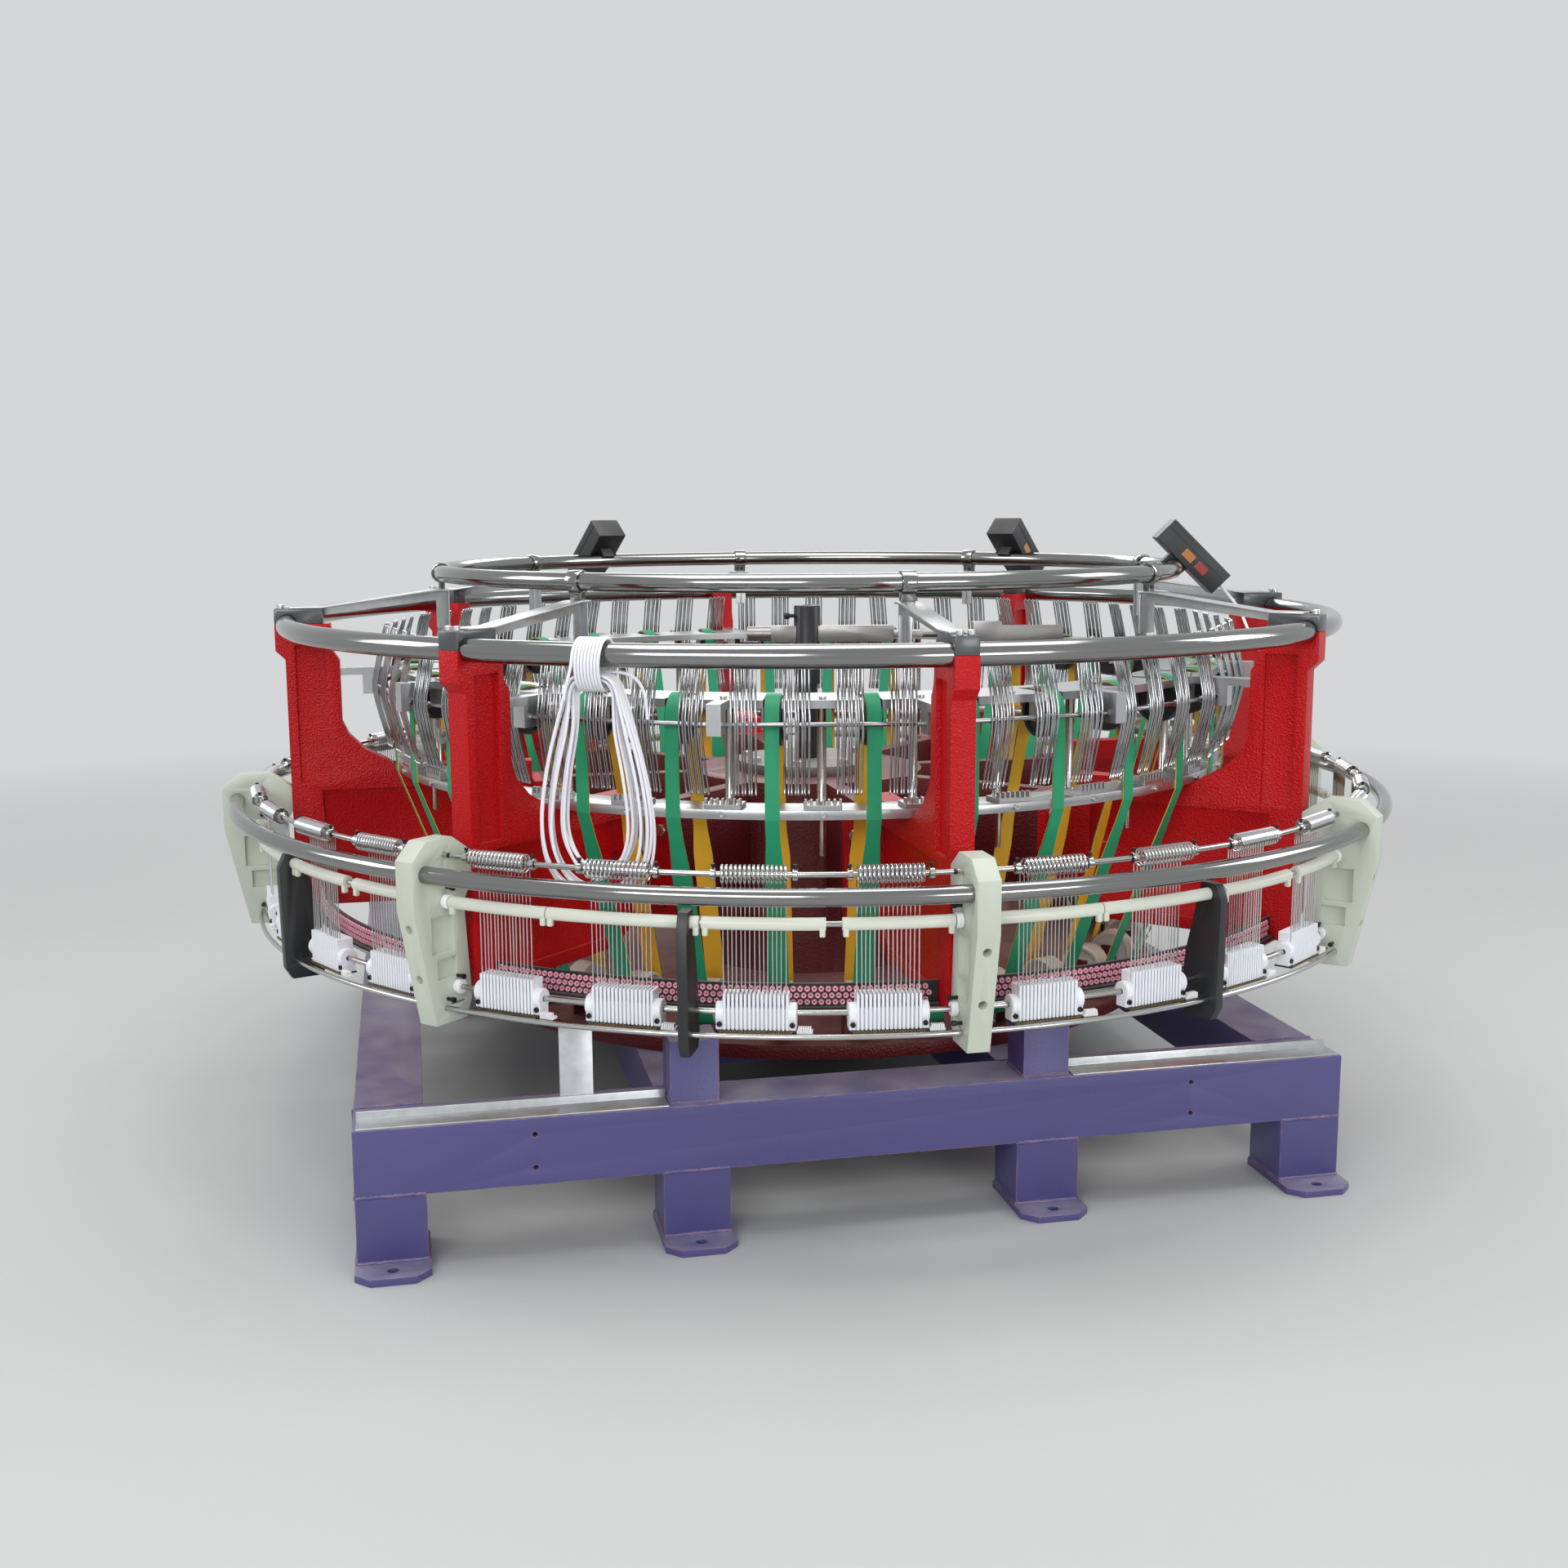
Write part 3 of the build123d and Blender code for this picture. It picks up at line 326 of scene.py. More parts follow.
link(wear_group, (mix_colors(wear_group, rubbed, source.outputs["Color"], source.outputs["Worn Color"]),
                  result.inputs["Color"]))

# %% Dust: lies on what faces up
DUST = (0.55, 0.52, 0.47, 1)
dust_group, source, result = new_group(
    "dust", [("Color", COLOR, GREY), ("Amount", FLOAT, 0.3)], [("Color", COLOR), ("Mask", FLOAT)])
split = dust_group.nodes.new("ShaderNodeSeparateXYZ")
link(dust_group, (dust_group.nodes.new("ShaderNodeNewGeometry").outputs["Normal"], split.inputs[0]))
upward = math_node(dust_group, "POWER", math_node(dust_group, "MAXIMUM", split.outputs["Z"], 0.0), 3.0)
mask = patches_over(dust_group, upward, 14.0, source.outputs["Amount"])
link(dust_group, (mix_colors(dust_group, mask, source.outputs["Color"], DUST), result.inputs["Color"]),
     (mask, result.inputs["Mask"]))

# %% Polishing lines that run round the loom
lines_group, source, result = new_group("polishing_lines", [("Fineness", FLOAT, 900.0)], [("Height", FLOAT)])
split = lines_group.nodes.new("ShaderNodeSeparateXYZ")
join = lines_group.nodes.new("ShaderNodeCombineXYZ")
link(lines_group, (here(lines_group), split.inputs[0]))
x, y, z = split.outputs
radius = math_node(
    lines_group, "SQRT", math_node(lines_group, "ADD", math_node(lines_group, "MULTIPLY", x, x),
    math_node(lines_group, "MULTIPLY", y, y)))
around = math_node(lines_group, "ARCTAN2", y, x)
for value, times, socket in (
        (radius, source.outputs["Fineness"], join.inputs[0]), (z, source.outputs["Fineness"], join.inputs[1]),
        (around, 14.0, join.inputs[2])):
    link(lines_group, (math_node(lines_group, "MULTIPLY", value, times), socket))
link(lines_group, (noise_at(lines_group, join.outputs[0], 1.0, 2.0), result.inputs["Height"]))
print("shading groups", [g.name for g in bpy.data.node_groups])

# %% [markdown]
# ## Finishes
# A finish starts from its colour, measured in the photograph, and passes it through the groups.
# Paint keeps a clear coat over its orange peel; metal keeps its colour in the reflection and shows
# polishing lines; moulded plastic is soft and faintly uneven. One maker builds them all, because they
# differ only in their values.

# %% Colours as a paint chart writes them
def paint(red, green, blue):
    def linear(c):
        c = c / 255
        return c / 12.92 if c <= 0.04045 else ((c + 0.055) / 1.055) ** 2.4
    return (linear(red), linear(green), linear(blue), 1.0)


# %% The finish maker
COAT_ROUGHNESS, DUST_DULLS, LINE_DEPTH, MATT = 0.12, 0.4, 0.0002, 0.28


def use_group(tree, group, values):
    node = tree.nodes.new("ShaderNodeGroup")
    node.node_tree = group
    for label, value in values.items():
        feed(tree, value, node.inputs[label])
    return node.outputs


def bump_of(tree, height, strength, depth):
    bump = tree.nodes.new("ShaderNodeBump")
    bump.inputs["Strength"].default_value = strength
    bump.inputs["Distance"].default_value = depth
    link(tree, (height, bump.inputs["Height"]))
    return bump


def finish(name, color, roughness, tone, grain, metallic=0.0, coat=0.0, wear=None, dust=0.0,
           rough_spread=0.1, lines=None, specular=0.5):
    # tone is scale and spread; grain is scale, lumps, bump strength and depth
    # wear is the colour below, how wide and how much; lines is fineness and strength
    material = bpy.data.materials.new(name)
    material.use_nodes = True
    tree = material.node_tree
    shader = tree.nodes["Principled BSDF"].inputs
    for label, value in (
            ("Metallic", metallic), ("Coat Weight", coat), ("Coat Roughness", COAT_ROUGHNESS),
            ("Specular IOR Level", specular)):
        shader[label].default_value = value
    surface = use_group(tree, tone_group, {"Color": color, "Scale": tone[0], "Spread": tone[1]})["Color"]
    if wear:
        worn = dict(zip(("Worn Color", "Width", "Amount"), wear))
        surface = use_group(tree, wear_group, {"Color": surface, **worn})["Color"]
    scale, lumps, strength, depth = grain
    grainy = use_group(tree, grain_group, {"Scale": scale, "Lumps": lumps})
    rough = math_node(tree, "MULTIPLY", math_node(tree, "SUBTRACT", grainy["Mask"], 0.5), rough_spread)
    rough = math_node(tree, "ADD", rough, roughness, clamp=True)
    if dust:
        dusty = use_group(tree, dust_group, {"Color": surface, "Amount": dust})
        surface = dusty["Color"]
        rough = math_node(
            tree, "ADD", rough, math_node(tree, "MULTIPLY", dusty["Mask"], DUST_DULLS), clamp=True)
    bump = bump_of(tree, grainy["Height"], strength, depth)
    if lines:
        drawn = use_group(tree, lines_group, {"Fineness": lines[0]})
        below, bump = bump, bump_of(tree, drawn["Height"], lines[1], LINE_DEPTH)
        link(tree, (below.outputs["Normal"], bump.inputs["Normal"]))
    link(tree, (surface, shader["Base Color"]), (rough, shader["Roughness"]),
         (bump.outputs["Normal"], shader["Normal"]))
    return material


# %% Paints
PRIMER = paint(205, 140, 118)
frame_blue = finish(
    "frame_blue_paint", paint(76, 71, 124), 0.38, (4.0, 0.12), (160.0, 0.6, 0.35, 0.0006), coat=0.15,
    wear=(PRIMER, 0.003, 0.55), dust=0.5)
casting_maroon = finish(
    "casting_maroon_paint", paint(92, 22, 26), 0.45, (5.0, 0.25), (220.0, 1.0, 0.6, 0.0015), coat=0.1,
    wear=(paint(60, 50, 48), 0.004, 0.5), dust=0.2, specular=MATT)
post_red = finish(
    "post_red_paint", paint(182, 3, 12), 0.36, (5.0, 0.08), (300.0, 1.3, 0.7, 0.0011),
    wear=(paint(140, 12, 18), 0.002, 0.5), dust=0.12, specular=MATT)
clamp_grey = finish(
    "clamp_dark_grey", paint(82, 86, 88), 0.35, (18.0, 0.15), (400.0, 0.5, 0.3, 0.0006), metallic=0.5,
    coat=0.2, wear=(paint(150, 150, 150), 0.0015, 0.7))
motor_paint = finish(
    "motor_grey_paint", paint(96, 104, 112), 0.45, (9.0, 0.12), (260.0, 0.9, 0.4, 0.001), coat=0.15, dust=0.6)

# %% Metals
ring_steel = finish(
    "ring_polished_steel", (0.27, 0.27, 0.265, 1), 0.13, (3.0, 0.06), (60.0, 0.0, 0.0, 0.0001), metallic=1.0,
    rough_spread=0.08, lines=(500.0, 0.03))
chrome = finish(
    "chrome_wire", (0.34, 0.35, 0.36, 1), 0.18, (8.0, 0.08), (60.0, 0.0, 0.0, 0.0001), metallic=1.0,
    rough_spread=0.06)
spring_wire = finish(
    "spring_bright_wire", (0.62, 0.62, 0.63, 1), 0.2, (8.0, 0.06), (60.0, 0.0, 0.0, 0.0001), metallic=1.0,
    rough_spread=0.06)
rod_steel = finish(
    "guide_rod_steel", (0.5, 0.5, 0.48, 1), 0.2, (14.0, 0.08), (800.0, 0.2, 0.03, 0.0002), metallic=1.0,
    lines=(1600.0, 0.08))
sheet_zinc = finish(
    "galvanised_sheet", (0.5, 0.52, 0.53, 1), 0.34, (55.0, 0.22), (120.0, 1.0, 0.08, 0.0004), metallic=0.9,
    rough_spread=0.25, dust=0.3)
plate_aluminium = finish(
    "milled_aluminium", (0.5, 0.51, 0.52, 1), 0.3, (12.0, 0.12), (500.0, 0.4, 0.08, 0.0003), metallic=0.95,
    lines=(900.0, 0.25), rough_spread=0.15, dust=0.15)
arm_steel = finish(
    "arm_dark_steel", (0.27, 0.26, 0.25, 1), 0.36, (22.0, 0.2), (350.0, 0.8, 0.25, 0.0005), metallic=0.9)
iron = finish(
    "cast_iron", (0.21, 0.2, 0.19, 1), 0.5, (16.0, 0.25), (240.0, 1.0, 0.5, 0.001), metallic=0.8, dust=0.5)
zinc_bolt = finish(
    "zinc_bolt", (0.58, 0.58, 0.55, 1), 0.3, (60.0, 0.15), (700.0, 0.4, 0.1, 0.0003), metallic=1.0)
contact_brass = finish(
    "contact_brass", (0.63, 0.45, 0.17, 1), 0.3, (80.0, 0.3), (500.0, 0.6, 0.1, 0.0003), metallic=1.0)
black_screw = finish(
    "black_oxide_screw", (0.025, 0.025, 0.028, 1), 0.32, (50.0, 0.3), (600.0, 0.4, 0.1, 0.0003), metallic=0.6)
shaft_black = finish(
    "shaft_black_steel", (0.022, 0.022, 0.024, 1), 0.38, (20.0, 0.3), (320.0, 0.8, 0.25, 0.0005),
    metallic=0.4)

# %% Plastics, rubber, ceramic and cable
box_black = finish(
    "box_black_plastic", paint(30, 33, 35), 0.42, (25.0, 0.2), (1400.0, 0.7, 0.25, 0.0003),
    wear=(paint(70, 74, 76), 0.0012, 0.6), dust=0.35)
bracket_black = finish(
    "bracket_black_plastic", paint(34, 36, 38), 0.42, (14.0, 0.2), (900.0, 0.7, 0.25, 0.0004), dust=0.3)
bracket_cream = finish(
    "bracket_cream_plastic", paint(192, 199, 185), 0.4, (9.0, 0.07), (700.0, 0.6, 0.15, 0.0004), dust=0.2)
guide_cream = finish(
    "guide_cream_plastic", paint(214, 217, 205), 0.33, (12.0, 0.06), (800.0, 0.5, 0.1, 0.0003))
comb_white = finish("comb_white_plastic", paint(232, 234, 240), 0.34, (20.0, 0.05), (900.0, 0.5, 0.1, 0.0003))
pulley_white = finish(
    "pulley_white_plastic", paint(214, 214, 208), 0.4, (16.0, 0.08), (700.0, 0.5, 0.12, 0.0003), dust=0.2)
belt_green = finish(
    "belt_green_face", paint(26, 150, 104), 0.55, (30.0, 0.12), (1600.0, 0.9, 0.3, 0.0004), rough_spread=0.2)
belt_yellow = finish(
    "belt_yellow_core", paint(240, 190, 48), 0.5, (26.0, 0.12), (1500.0, 0.9, 0.25, 0.0004), rough_spread=0.2)
belt_black = finish(
    "drive_belt_rubber", paint(30, 30, 31), 0.62, (30.0, 0.2), (900.0, 0.9, 0.3, 0.0005), dust=0.5)
eyelet_pink = finish(
    "eyelet_pink_ceramic", paint(236, 160, 178), 0.25, (60.0, 0.12), (900.0, 0.4, 0.08, 0.0002), coat=0.3)
cable_white = finish(
    "cable_white_jacket", paint(232, 232, 238), 0.4, (30.0, 0.06), (1200.0, 0.5, 0.12, 0.0003))
nut_white = finish("nut_white_nylon", paint(240, 240, 240), 0.35, (40.0, 0.05), (900.0, 0.5, 0.1, 0.0003))
print("finishes", len(bpy.data.materials))

# %% Every CAD node gets its finish first, so that nothing is ever left plain
NODE_FINISH = {
    frame_blue: ["base_frame", "foot_plates"], casting_maroon: ["base_casting"], post_red: ["posts"],
    clamp_grey: ["ring_clamps"], ring_steel: ["upper_ring", "top_ring", "lower_ring", "strap_clamps"],
    sheet_zinc: ["ring_stays", "frame_sheets"], box_black: ["sensor_boxes"], guide_cream: ["guide_tubes"],
    bracket_cream: ["outer_brackets"], comb_white: ["comb_blocks"],
    bracket_black: ["black_brackets", "contact_strip"], arm_steel: ["eyelet_rails", "drive_arms"],
    plate_aluminium: ["lower_ring_plate", "upper_ring_plate", "comb_plates"],
    rod_steel: ["guide_rods", "pillars", "guide_pins"], pulley_white: ["top_pulleys", "low_pulleys"],
    belt_green: ["belts"], spring_wire: ["spring_coils", "spring_wires"],
    chrome: [f"hook_row_{k:02d}" for k in range(1, 17)], shaft_black: ["main_shaft"],
    iron: ["bearings", "main_pulley", "motor_plate", "motor_pulley"], motor_paint: ["motor"],
    belt_black: ["drive_belt"], zinc_bolt: ["bolts"], cable_white: ["cable_hank", "sensor_cable"],
}
for material, names in NODE_FINISH.items():
    for name in names:
        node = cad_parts[name]
        if node.material_slots:
            for held in node.material_slots:
                held.material = material
        else:
            node.data.materials.append(material)
print("finished nodes", sum(len(names) for names in NODE_FINISH.values()))

# %% [markdown]
# ## The cables
# A free cable is one smooth NURBS curve with a round bevel, because that is what a cable is: one line
# of fixed length and thickness. The sensor cable leaves the lower end of the first sensor box, sags
# past the hooks and ends in the side of a post. The spare cable hangs in a hank on the upper ring:
# eight wraps bind it to the ring, and the loops hang below in two layers, so no turn lies in another.
# Every loop has its own width and length, because a hand coils a cable unevenly.

# %% A cable along a list of points
def cable(name, points, radius):
    data = bpy.data.curves.new(name, "CURVE")
    data.dimensions = "3D"
    data.bevel_depth = radius
    data.bevel_resolution = 3
    data.resolution_u = 4
    data.use_fill_caps = True
    line = data.splines.new("NURBS")
    line.points.add(len(points) - 1)
    for held, p in zip(line.points, points):
        held.co = (*p, 1.0)
    line.order_u = 3
    line.use_endpoint_u = True
    piece = new_object(name, data)
    data.materials.append(cable_white)
    return piece


def line_length(piece):
    bare = piece.data.copy()
    bare.bevel_depth = 0.0
    probe = new_object("probe", bare)
    mesh = bpy.data.meshes.new_from_object(probe)
    total = sum(
        (mesh.vertices[e.vertices[0]].co - mesh.vertices[e.vertices[1]].co).length for e in mesh.edges)
    bpy.data.objects.remove(probe)
    bpy.data.meshes.remove(mesh)
    return total


# %% The sensor cable: out of the box, down, round and into the post
POST_SIDE = 0.02


def beside_post(radius, off, z):
    return spin(-45) @ Vector((radius, off, z))


sensor_route = [
    polar(0.841569, -16.5, 1.021431), polar(0.883569, -16.5, 0.979431), polar(0.896, -20.0, 0.93),
    polar(0.913, -24.5, 0.898), polar(0.931, -29.3, 0.88), polar(0.948, -33.8, 0.87),
    polar(0.963, -38.0, 0.868), beside_post(0.97, POST_SIDE + 0.05, 0.872),
    beside_post(0.97, POST_SIDE, 0.876)]
sensor_cable = cable("sensor_box_cable", sensor_route, 0.003)
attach(sensor_cable, "root")
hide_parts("sensor_cable")
length = line_length(sensor_cable)
print("sensor cable", round(length, 3), "m")

# %% The hank: wraps round the ring first, then the hanging loops
HANK_AT = -121.0
WRAPS, PITCH_ALONG, HANK_R, CORD_PITCH = 8, 0.0055, UPPER_R + 0.002, 0.0054
half_loop = [
    (0.031, -0.006), (0.041, -0.021), (0.047, -0.05), (0.056, -0.09), (0.068, -0.14), (0.077, -0.195),
    (0.08, -0.24), (0.074, -0.285), (0.054, -0.318), (0.028, -0.333)]
loop_shape = half_loop + [(0.0, -0.3375)] + [(-u, w) for u, w in half_loop[::-1]]
INNER = 0.0135


def hank_point(depth, along, z):
    # depth is outward from the ring's own radius, along runs beside the ring
    return spin(HANK_AT) @ Vector((HANK_R + depth, along, z))


rng = random.Random(4)
hank_route = [
    hank_point(0.036, -0.036, 0.893), hank_point(0.0355, -0.033, 0.91), hank_point(0.034, -0.029, 0.926)]
for step in range(12 * WRAPS + 8):
    turn = radians(30 * step)
    hank_route.append(
        hank_point(0.0315 * cos(turn), -0.0243 + PITCH_ALONG * step / 12, 0.9455 + 0.041 * sin(turn)))
hank_route.append(hank_point(-0.0255, 0.033, 0.908))
# seven outer loops go from the loom outwards, then five smaller ones come back inside them
for k in range(12):
    outer = k < 7
    stack, way = (k, 1) if outer else (12 - k, -1)
    inset = 0.0 if outer else INNER
    depth = -0.0162 + CORD_PITCH * stack
    wide = rng.uniform(1.0, 1.22) if outer else rng.uniform(0.8, 0.95)
    long = rng.uniform(1.0, 1.07) if outer else rng.uniform(0.93, 0.98)
    if k == 6:
        wide, long, way = 1.0, 1.0, 0
    points = loop_shape if k else loop_shape[2:]
    for j, (u, w) in enumerate(points):
        share = j / len(points)
        if k == 6:
            inset = INNER * min(1.0, max(0.0, (share - 0.45) / 0.4))
        ease = min(1.0, max(0.0, (-w - 0.02) / 0.06))
        reach = max(0.0, abs(u) - inset * (0.42 + 0.58 * ease)) * (1 + (wide - 1) * ease)
        low = w * (1 + (long - 1) * ease) + (inset if w < -0.25 else 0)
        hank_route.append(
            hank_point(depth + CORD_PITCH * way * share, copysign(reach, u), 0.933 - inset * 0.42 + low))
    if k < 11:
        hank_route.append(hank_point(depth + CORD_PITCH * way, 0.0, 0.933 - inset * 0.42))
hank_route += [
    hank_point(-0.0162, -0.012, 0.9325), hank_point(-0.0162, 0.012, 0.933), hank_point(-0.0162, 0.036, 0.933),
    hank_point(-0.0155, 0.058, 0.9275), hank_point(-0.0145, 0.073, 0.911), hank_point(-0.014, 0.079, 0.885),
    hank_point(-0.013, 0.08, 0.862)]
hank = cable("spare_cable_hank", hank_route, 0.0025)
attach(hank, "root")
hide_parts("cable_hank")
length = line_length(hank)
print("hank", round(length, 2), "m in", len(hank_route), "points")

# %% [markdown]
# ## Two Geometry Nodes trees
# Most of the loom is repetition: thirty-two spring packs, two hundred and fifty-six hooks, nearly
# sixteen hundred eyelets. One tree puts a source piece on every point of a holder and turns it by the point's
# own "turn" attribute. Another makes a tube ring from two circles. Both end in real mesh, because an
# instance alone would be lost when the part is exported.

# %% Shared steps of the two trees
def add_nodes(tree, *kinds):
    return [tree.nodes.new(kind) for kind in kinds]


def end_in_mesh(tree, geometry, given, result):
    # instances become real mesh and take the given finish
    real, coat = add_nodes(tree, "GeometryNodeRealizeInstances", "GeometryNodeSetMaterial")
    link(tree, (geometry, real.inputs["Geometry"]), (real.outputs["Geometry"], coat.inputs["Geometry"]),
         (given["Finish"], coat.inputs["Material"]), (coat.outputs["Geometry"], result.inputs["Geometry"]))


# %% Tree: a source piece on every point
place_tree, source, result = new_group(
    "place_on_points",
    [("Geometry", GEOMETRY), ("Source", "NodeSocketObject"), ("Finish", "NodeSocketMaterial")],
    [("Geometry", GEOMETRY)], "GeometryNodeTree")
info, turn, euler, onto = add_nodes(
    place_tree, "GeometryNodeObjectInfo", "GeometryNodeInputNamedAttribute", "FunctionNodeEulerToRotation",
    "GeometryNodeInstanceOnPoints")
turn.data_type = "FLOAT_VECTOR"
turn.inputs["Name"].default_value = "turn"
link(
    place_tree, (source.outputs["Source"], info.inputs["Object"]),
    (turn.outputs["Attribute"], euler.inputs[0]), (source.outputs["Geometry"], onto.inputs["Points"]),
    (info.outputs["Geometry"], onto.inputs["Instance"]), (euler.outputs[0], onto.inputs["Rotation"]))
end_in_mesh(place_tree, onto.outputs["Instances"], source.outputs, result)

# %% Tree: a tube bent into a ring
SECTION_STEPS = 20
ring_tree, source, result = new_group(
    "tube_ring", [("Radius", FLOAT), ("Tube", FLOAT), ("Height", FLOAT), ("Steps", "NodeSocketInt"),
    ("Finish", "NodeSocketMaterial")], [("Geometry", GEOMETRY)], "GeometryNodeTree")
path, section, sweep, lift, height = add_nodes(
    ring_tree, "GeometryNodeCurvePrimitiveCircle", "GeometryNodeCurvePrimitiveCircle",
    "GeometryNodeCurveToMesh", "GeometryNodeTransform", "ShaderNodeCombineXYZ")
section.inputs["Resolution"].default_value = SECTION_STEPS
link(
    ring_tree, (source.outputs["Radius"], path.inputs["Radius"]),
    (source.outputs["Steps"], path.inputs["Resolution"]), (source.outputs["Tube"], section.inputs["Radius"]),
    (path.outputs["Curve"], sweep.inputs["Curve"]), (section.outputs["Curve"], sweep.inputs["Profile Curve"]),
    (source.outputs["Height"], height.inputs[2]), (sweep.outputs["Mesh"], lift.inputs["Geometry"]),
    (height.outputs[0], lift.inputs["Translation"]))
end_in_mesh(ring_tree, lift.outputs["Geometry"], source.outputs, result)


# %% Run a tree and keep only the mesh it makes
def run_tree(tree, mesh, name, **values):
    holder = new_object("holder", mesh)
    modifier = holder.modifiers.new("make", "NODES")
    modifier.node_group = tree
    for item in tree.interface.items_tree:
        if item.in_out == "INPUT" and item.name in values:
            modifier[item.identifier] = values[item.name]
    holder.update_tag()
    bpy.context.view_layer.update()
    graph = bpy.context.evaluated_depsgraph_get()
    made = bpy.data.meshes.new_from_object(holder.evaluated_get(graph))
    made.name = name
    holder.modifiers.remove(modifier)
    bpy.data.objects.remove(holder)
    return made


def place_on(points, turns, source_mesh, name, material, degrees=35):
    # points are places, turns are the x, y and z angles of each copy, in radians
    dots = bpy.data.meshes.new("dots")
    dots.from_pydata([tuple(p) for p in points], [], [])
    held = dots.attributes.new("turn", "FLOAT_VECTOR", "POINT")
    held.data.foreach_set("vector", [v for t in turns for v in t])
    source_piece = new_object("source", source_mesh)
    made = run_tree(place_tree, dots, name, Source=source_piece, Finish=material)
    bpy.data.objects.remove(source_piece)
    smooth_by_angle(made, degrees)
    return made


def round_loom(angles, source_mesh, name, material, degrees=35):
    return place_on(
        [(0, 0, 0)] * len(angles), [(0, 0, radians(a)) for a in angles], source_mesh, name, material, degrees)


def repeat(name, bm, angles, material, degrees=35, **told):
    # what bm holds at angle 0 is copied to every angle, as one piece
    one = mesh_of(bm, name + "_one", degrees)
    return show(name, round_loom(angles, one, name, material, degrees), material, **told)


# %% The angles at which things repeat
POST_AT = [45 * k for k in range(SECTORS)]
BLACK_AT = [a + 22.5 for a in POST_AT]
BELT_AT = [11.25 * (k + 0.5) for k in range(LANES)]
PILLAR_AT = [11.25 * k for k in range(LANES)]
SPRING_AT = [a + b for a in POST_AT for b in (6.6, 17.1, 27.9, 38.4)]

# %% [markdown]
# ## Rounded copies of the CAD solids
# A CAD solid has mathematically sharp edges, and no real weldment or casting does. A copy is merged,
# its flat triangles are joined again into whole faces, and a Bevel modifier rolls the edges to the
# radius that the process leaves: wide on square tube and castings, fine on folded sheet. A copy can
# also be cut open with another mesh, or made thinner across the radius it stands on.

# %% Merge, join and bevel a copy
MERGE, FLAT_ANGLE, SHARP_ANGLE = 3e-6, radians(0.7), radians(38)


def make_thin(bm, angles, share):
    for v in bm.verts:
        bearing = atan2(v.co.y, v.co.x)
        near = max(map(radians, angles), key=lambda a: cos(bearing - a))
        across = Vector((-sin(near), cos(near), 0))
        v.co -= across * v.co.dot(across) * (1 - share)


def rounded(node, name, width, material, slot=None, segments=2, body="root", cutter=None, thin=None):
    bm = bmesh.new()
    bm.from_mesh(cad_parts[node].data)
    if thin:
        make_thin(bm, *thin)
    bmesh.ops.remove_doubles(bm, verts=bm.verts, dist=MERGE)
    bmesh.ops.dissolve_limit(bm, angle_limit=FLAT_ANGLE, verts=bm.verts, edges=bm.edges)
    loose = [v for v in bm.verts if not v.link_faces]
    bmesh.ops.delete(bm, geom=loose, context="VERTS")
    plain = bpy.data.meshes.new(name + "_plain")
    bm.to_mesh(plain)
    bm.free()
    for extra in ("custom_normal", "sharp_face", "sharp_edge"):
        if extra in plain.attributes:
            plain.attributes.remove(plain.attributes[extra])
    holder = new_object("holder", plain)
    if cutter:
        tool = new_object("cutter", mesh_of(cutter, "cutter"))
        opening = holder.modifiers.new("openings", "BOOLEAN")
        opening.object = tool
        opening.solver = "EXACT"
    roll = holder.modifiers.new("edges", "BEVEL")
    roll.width = width
    roll.segments = segments
    roll.limit_method = "ANGLE"
    roll.angle_limit = SHARP_ANGLE
    graph = bpy.context.evaluated_depsgraph_get()
    made = bpy.data.meshes.new_from_object(holder.evaluated_get(graph))
    made.name = name
    bpy.data.objects.remove(holder)
    if cutter:
        bpy.data.objects.remove(tool)
    smooth_by_angle(made, 32)
    return show(name, made, material, body, slot, (node,))


# %% Weldment, castings, clamps and plates
rounded("base_frame", "frame_weldment", 0.006, frame_blue, "frame_paint", 3)
rounded("foot_plates", "foot_plates_rounded", 0.0015, frame_blue, "frame_paint")
rounded("base_casting", "casting_drum", 0.004, casting_maroon, "maroon_paint")
rounded("posts", "cast_posts", 0.0035, post_red, "red_paint", 3)
rounded("ring_clamps", "ring_caps", 0.002, clamp_grey, "clamp_grey")
rounded("strap_clamps", "ring_straps", 0.001, ring_steel, "sheet")

# %% Ring stays: folded strips, open along the middle of their length, each with a flange
STAY_OPENING = [(0.757, 1.002), (0.98, 0.9752), (0.98, 0.9), (0.757, 0.9)]
stay_gap = bmesh.new()
for a in POST_AT:
    near_side, far_side = (
        [stay_gap.verts.new(spin(a) @ Vector((x, y, z))) for x, z in STAY_OPENING] for y in (-0.003, 0.003))
    stay_gap.faces.new(near_side)
    stay_gap.faces.new(far_side[::-1])
    for k in range(4):
        m = (k + 1) % 4
        stay_gap.faces.new((near_side[m], near_side[k], far_side[k], far_side[m]))
rounded("ring_stays", "folded_stays", 0.0008, sheet_zinc, "sheet", cutter=stay_gap)
flange = bmesh.new()
add_bar(flange, (0.0026, 0.024, 0.074), at(0.7323, 0, 0.983), 0.0006, 1)
repeat("stay_flanges", flange, POST_AT, sheet_zinc, slot="sheet")

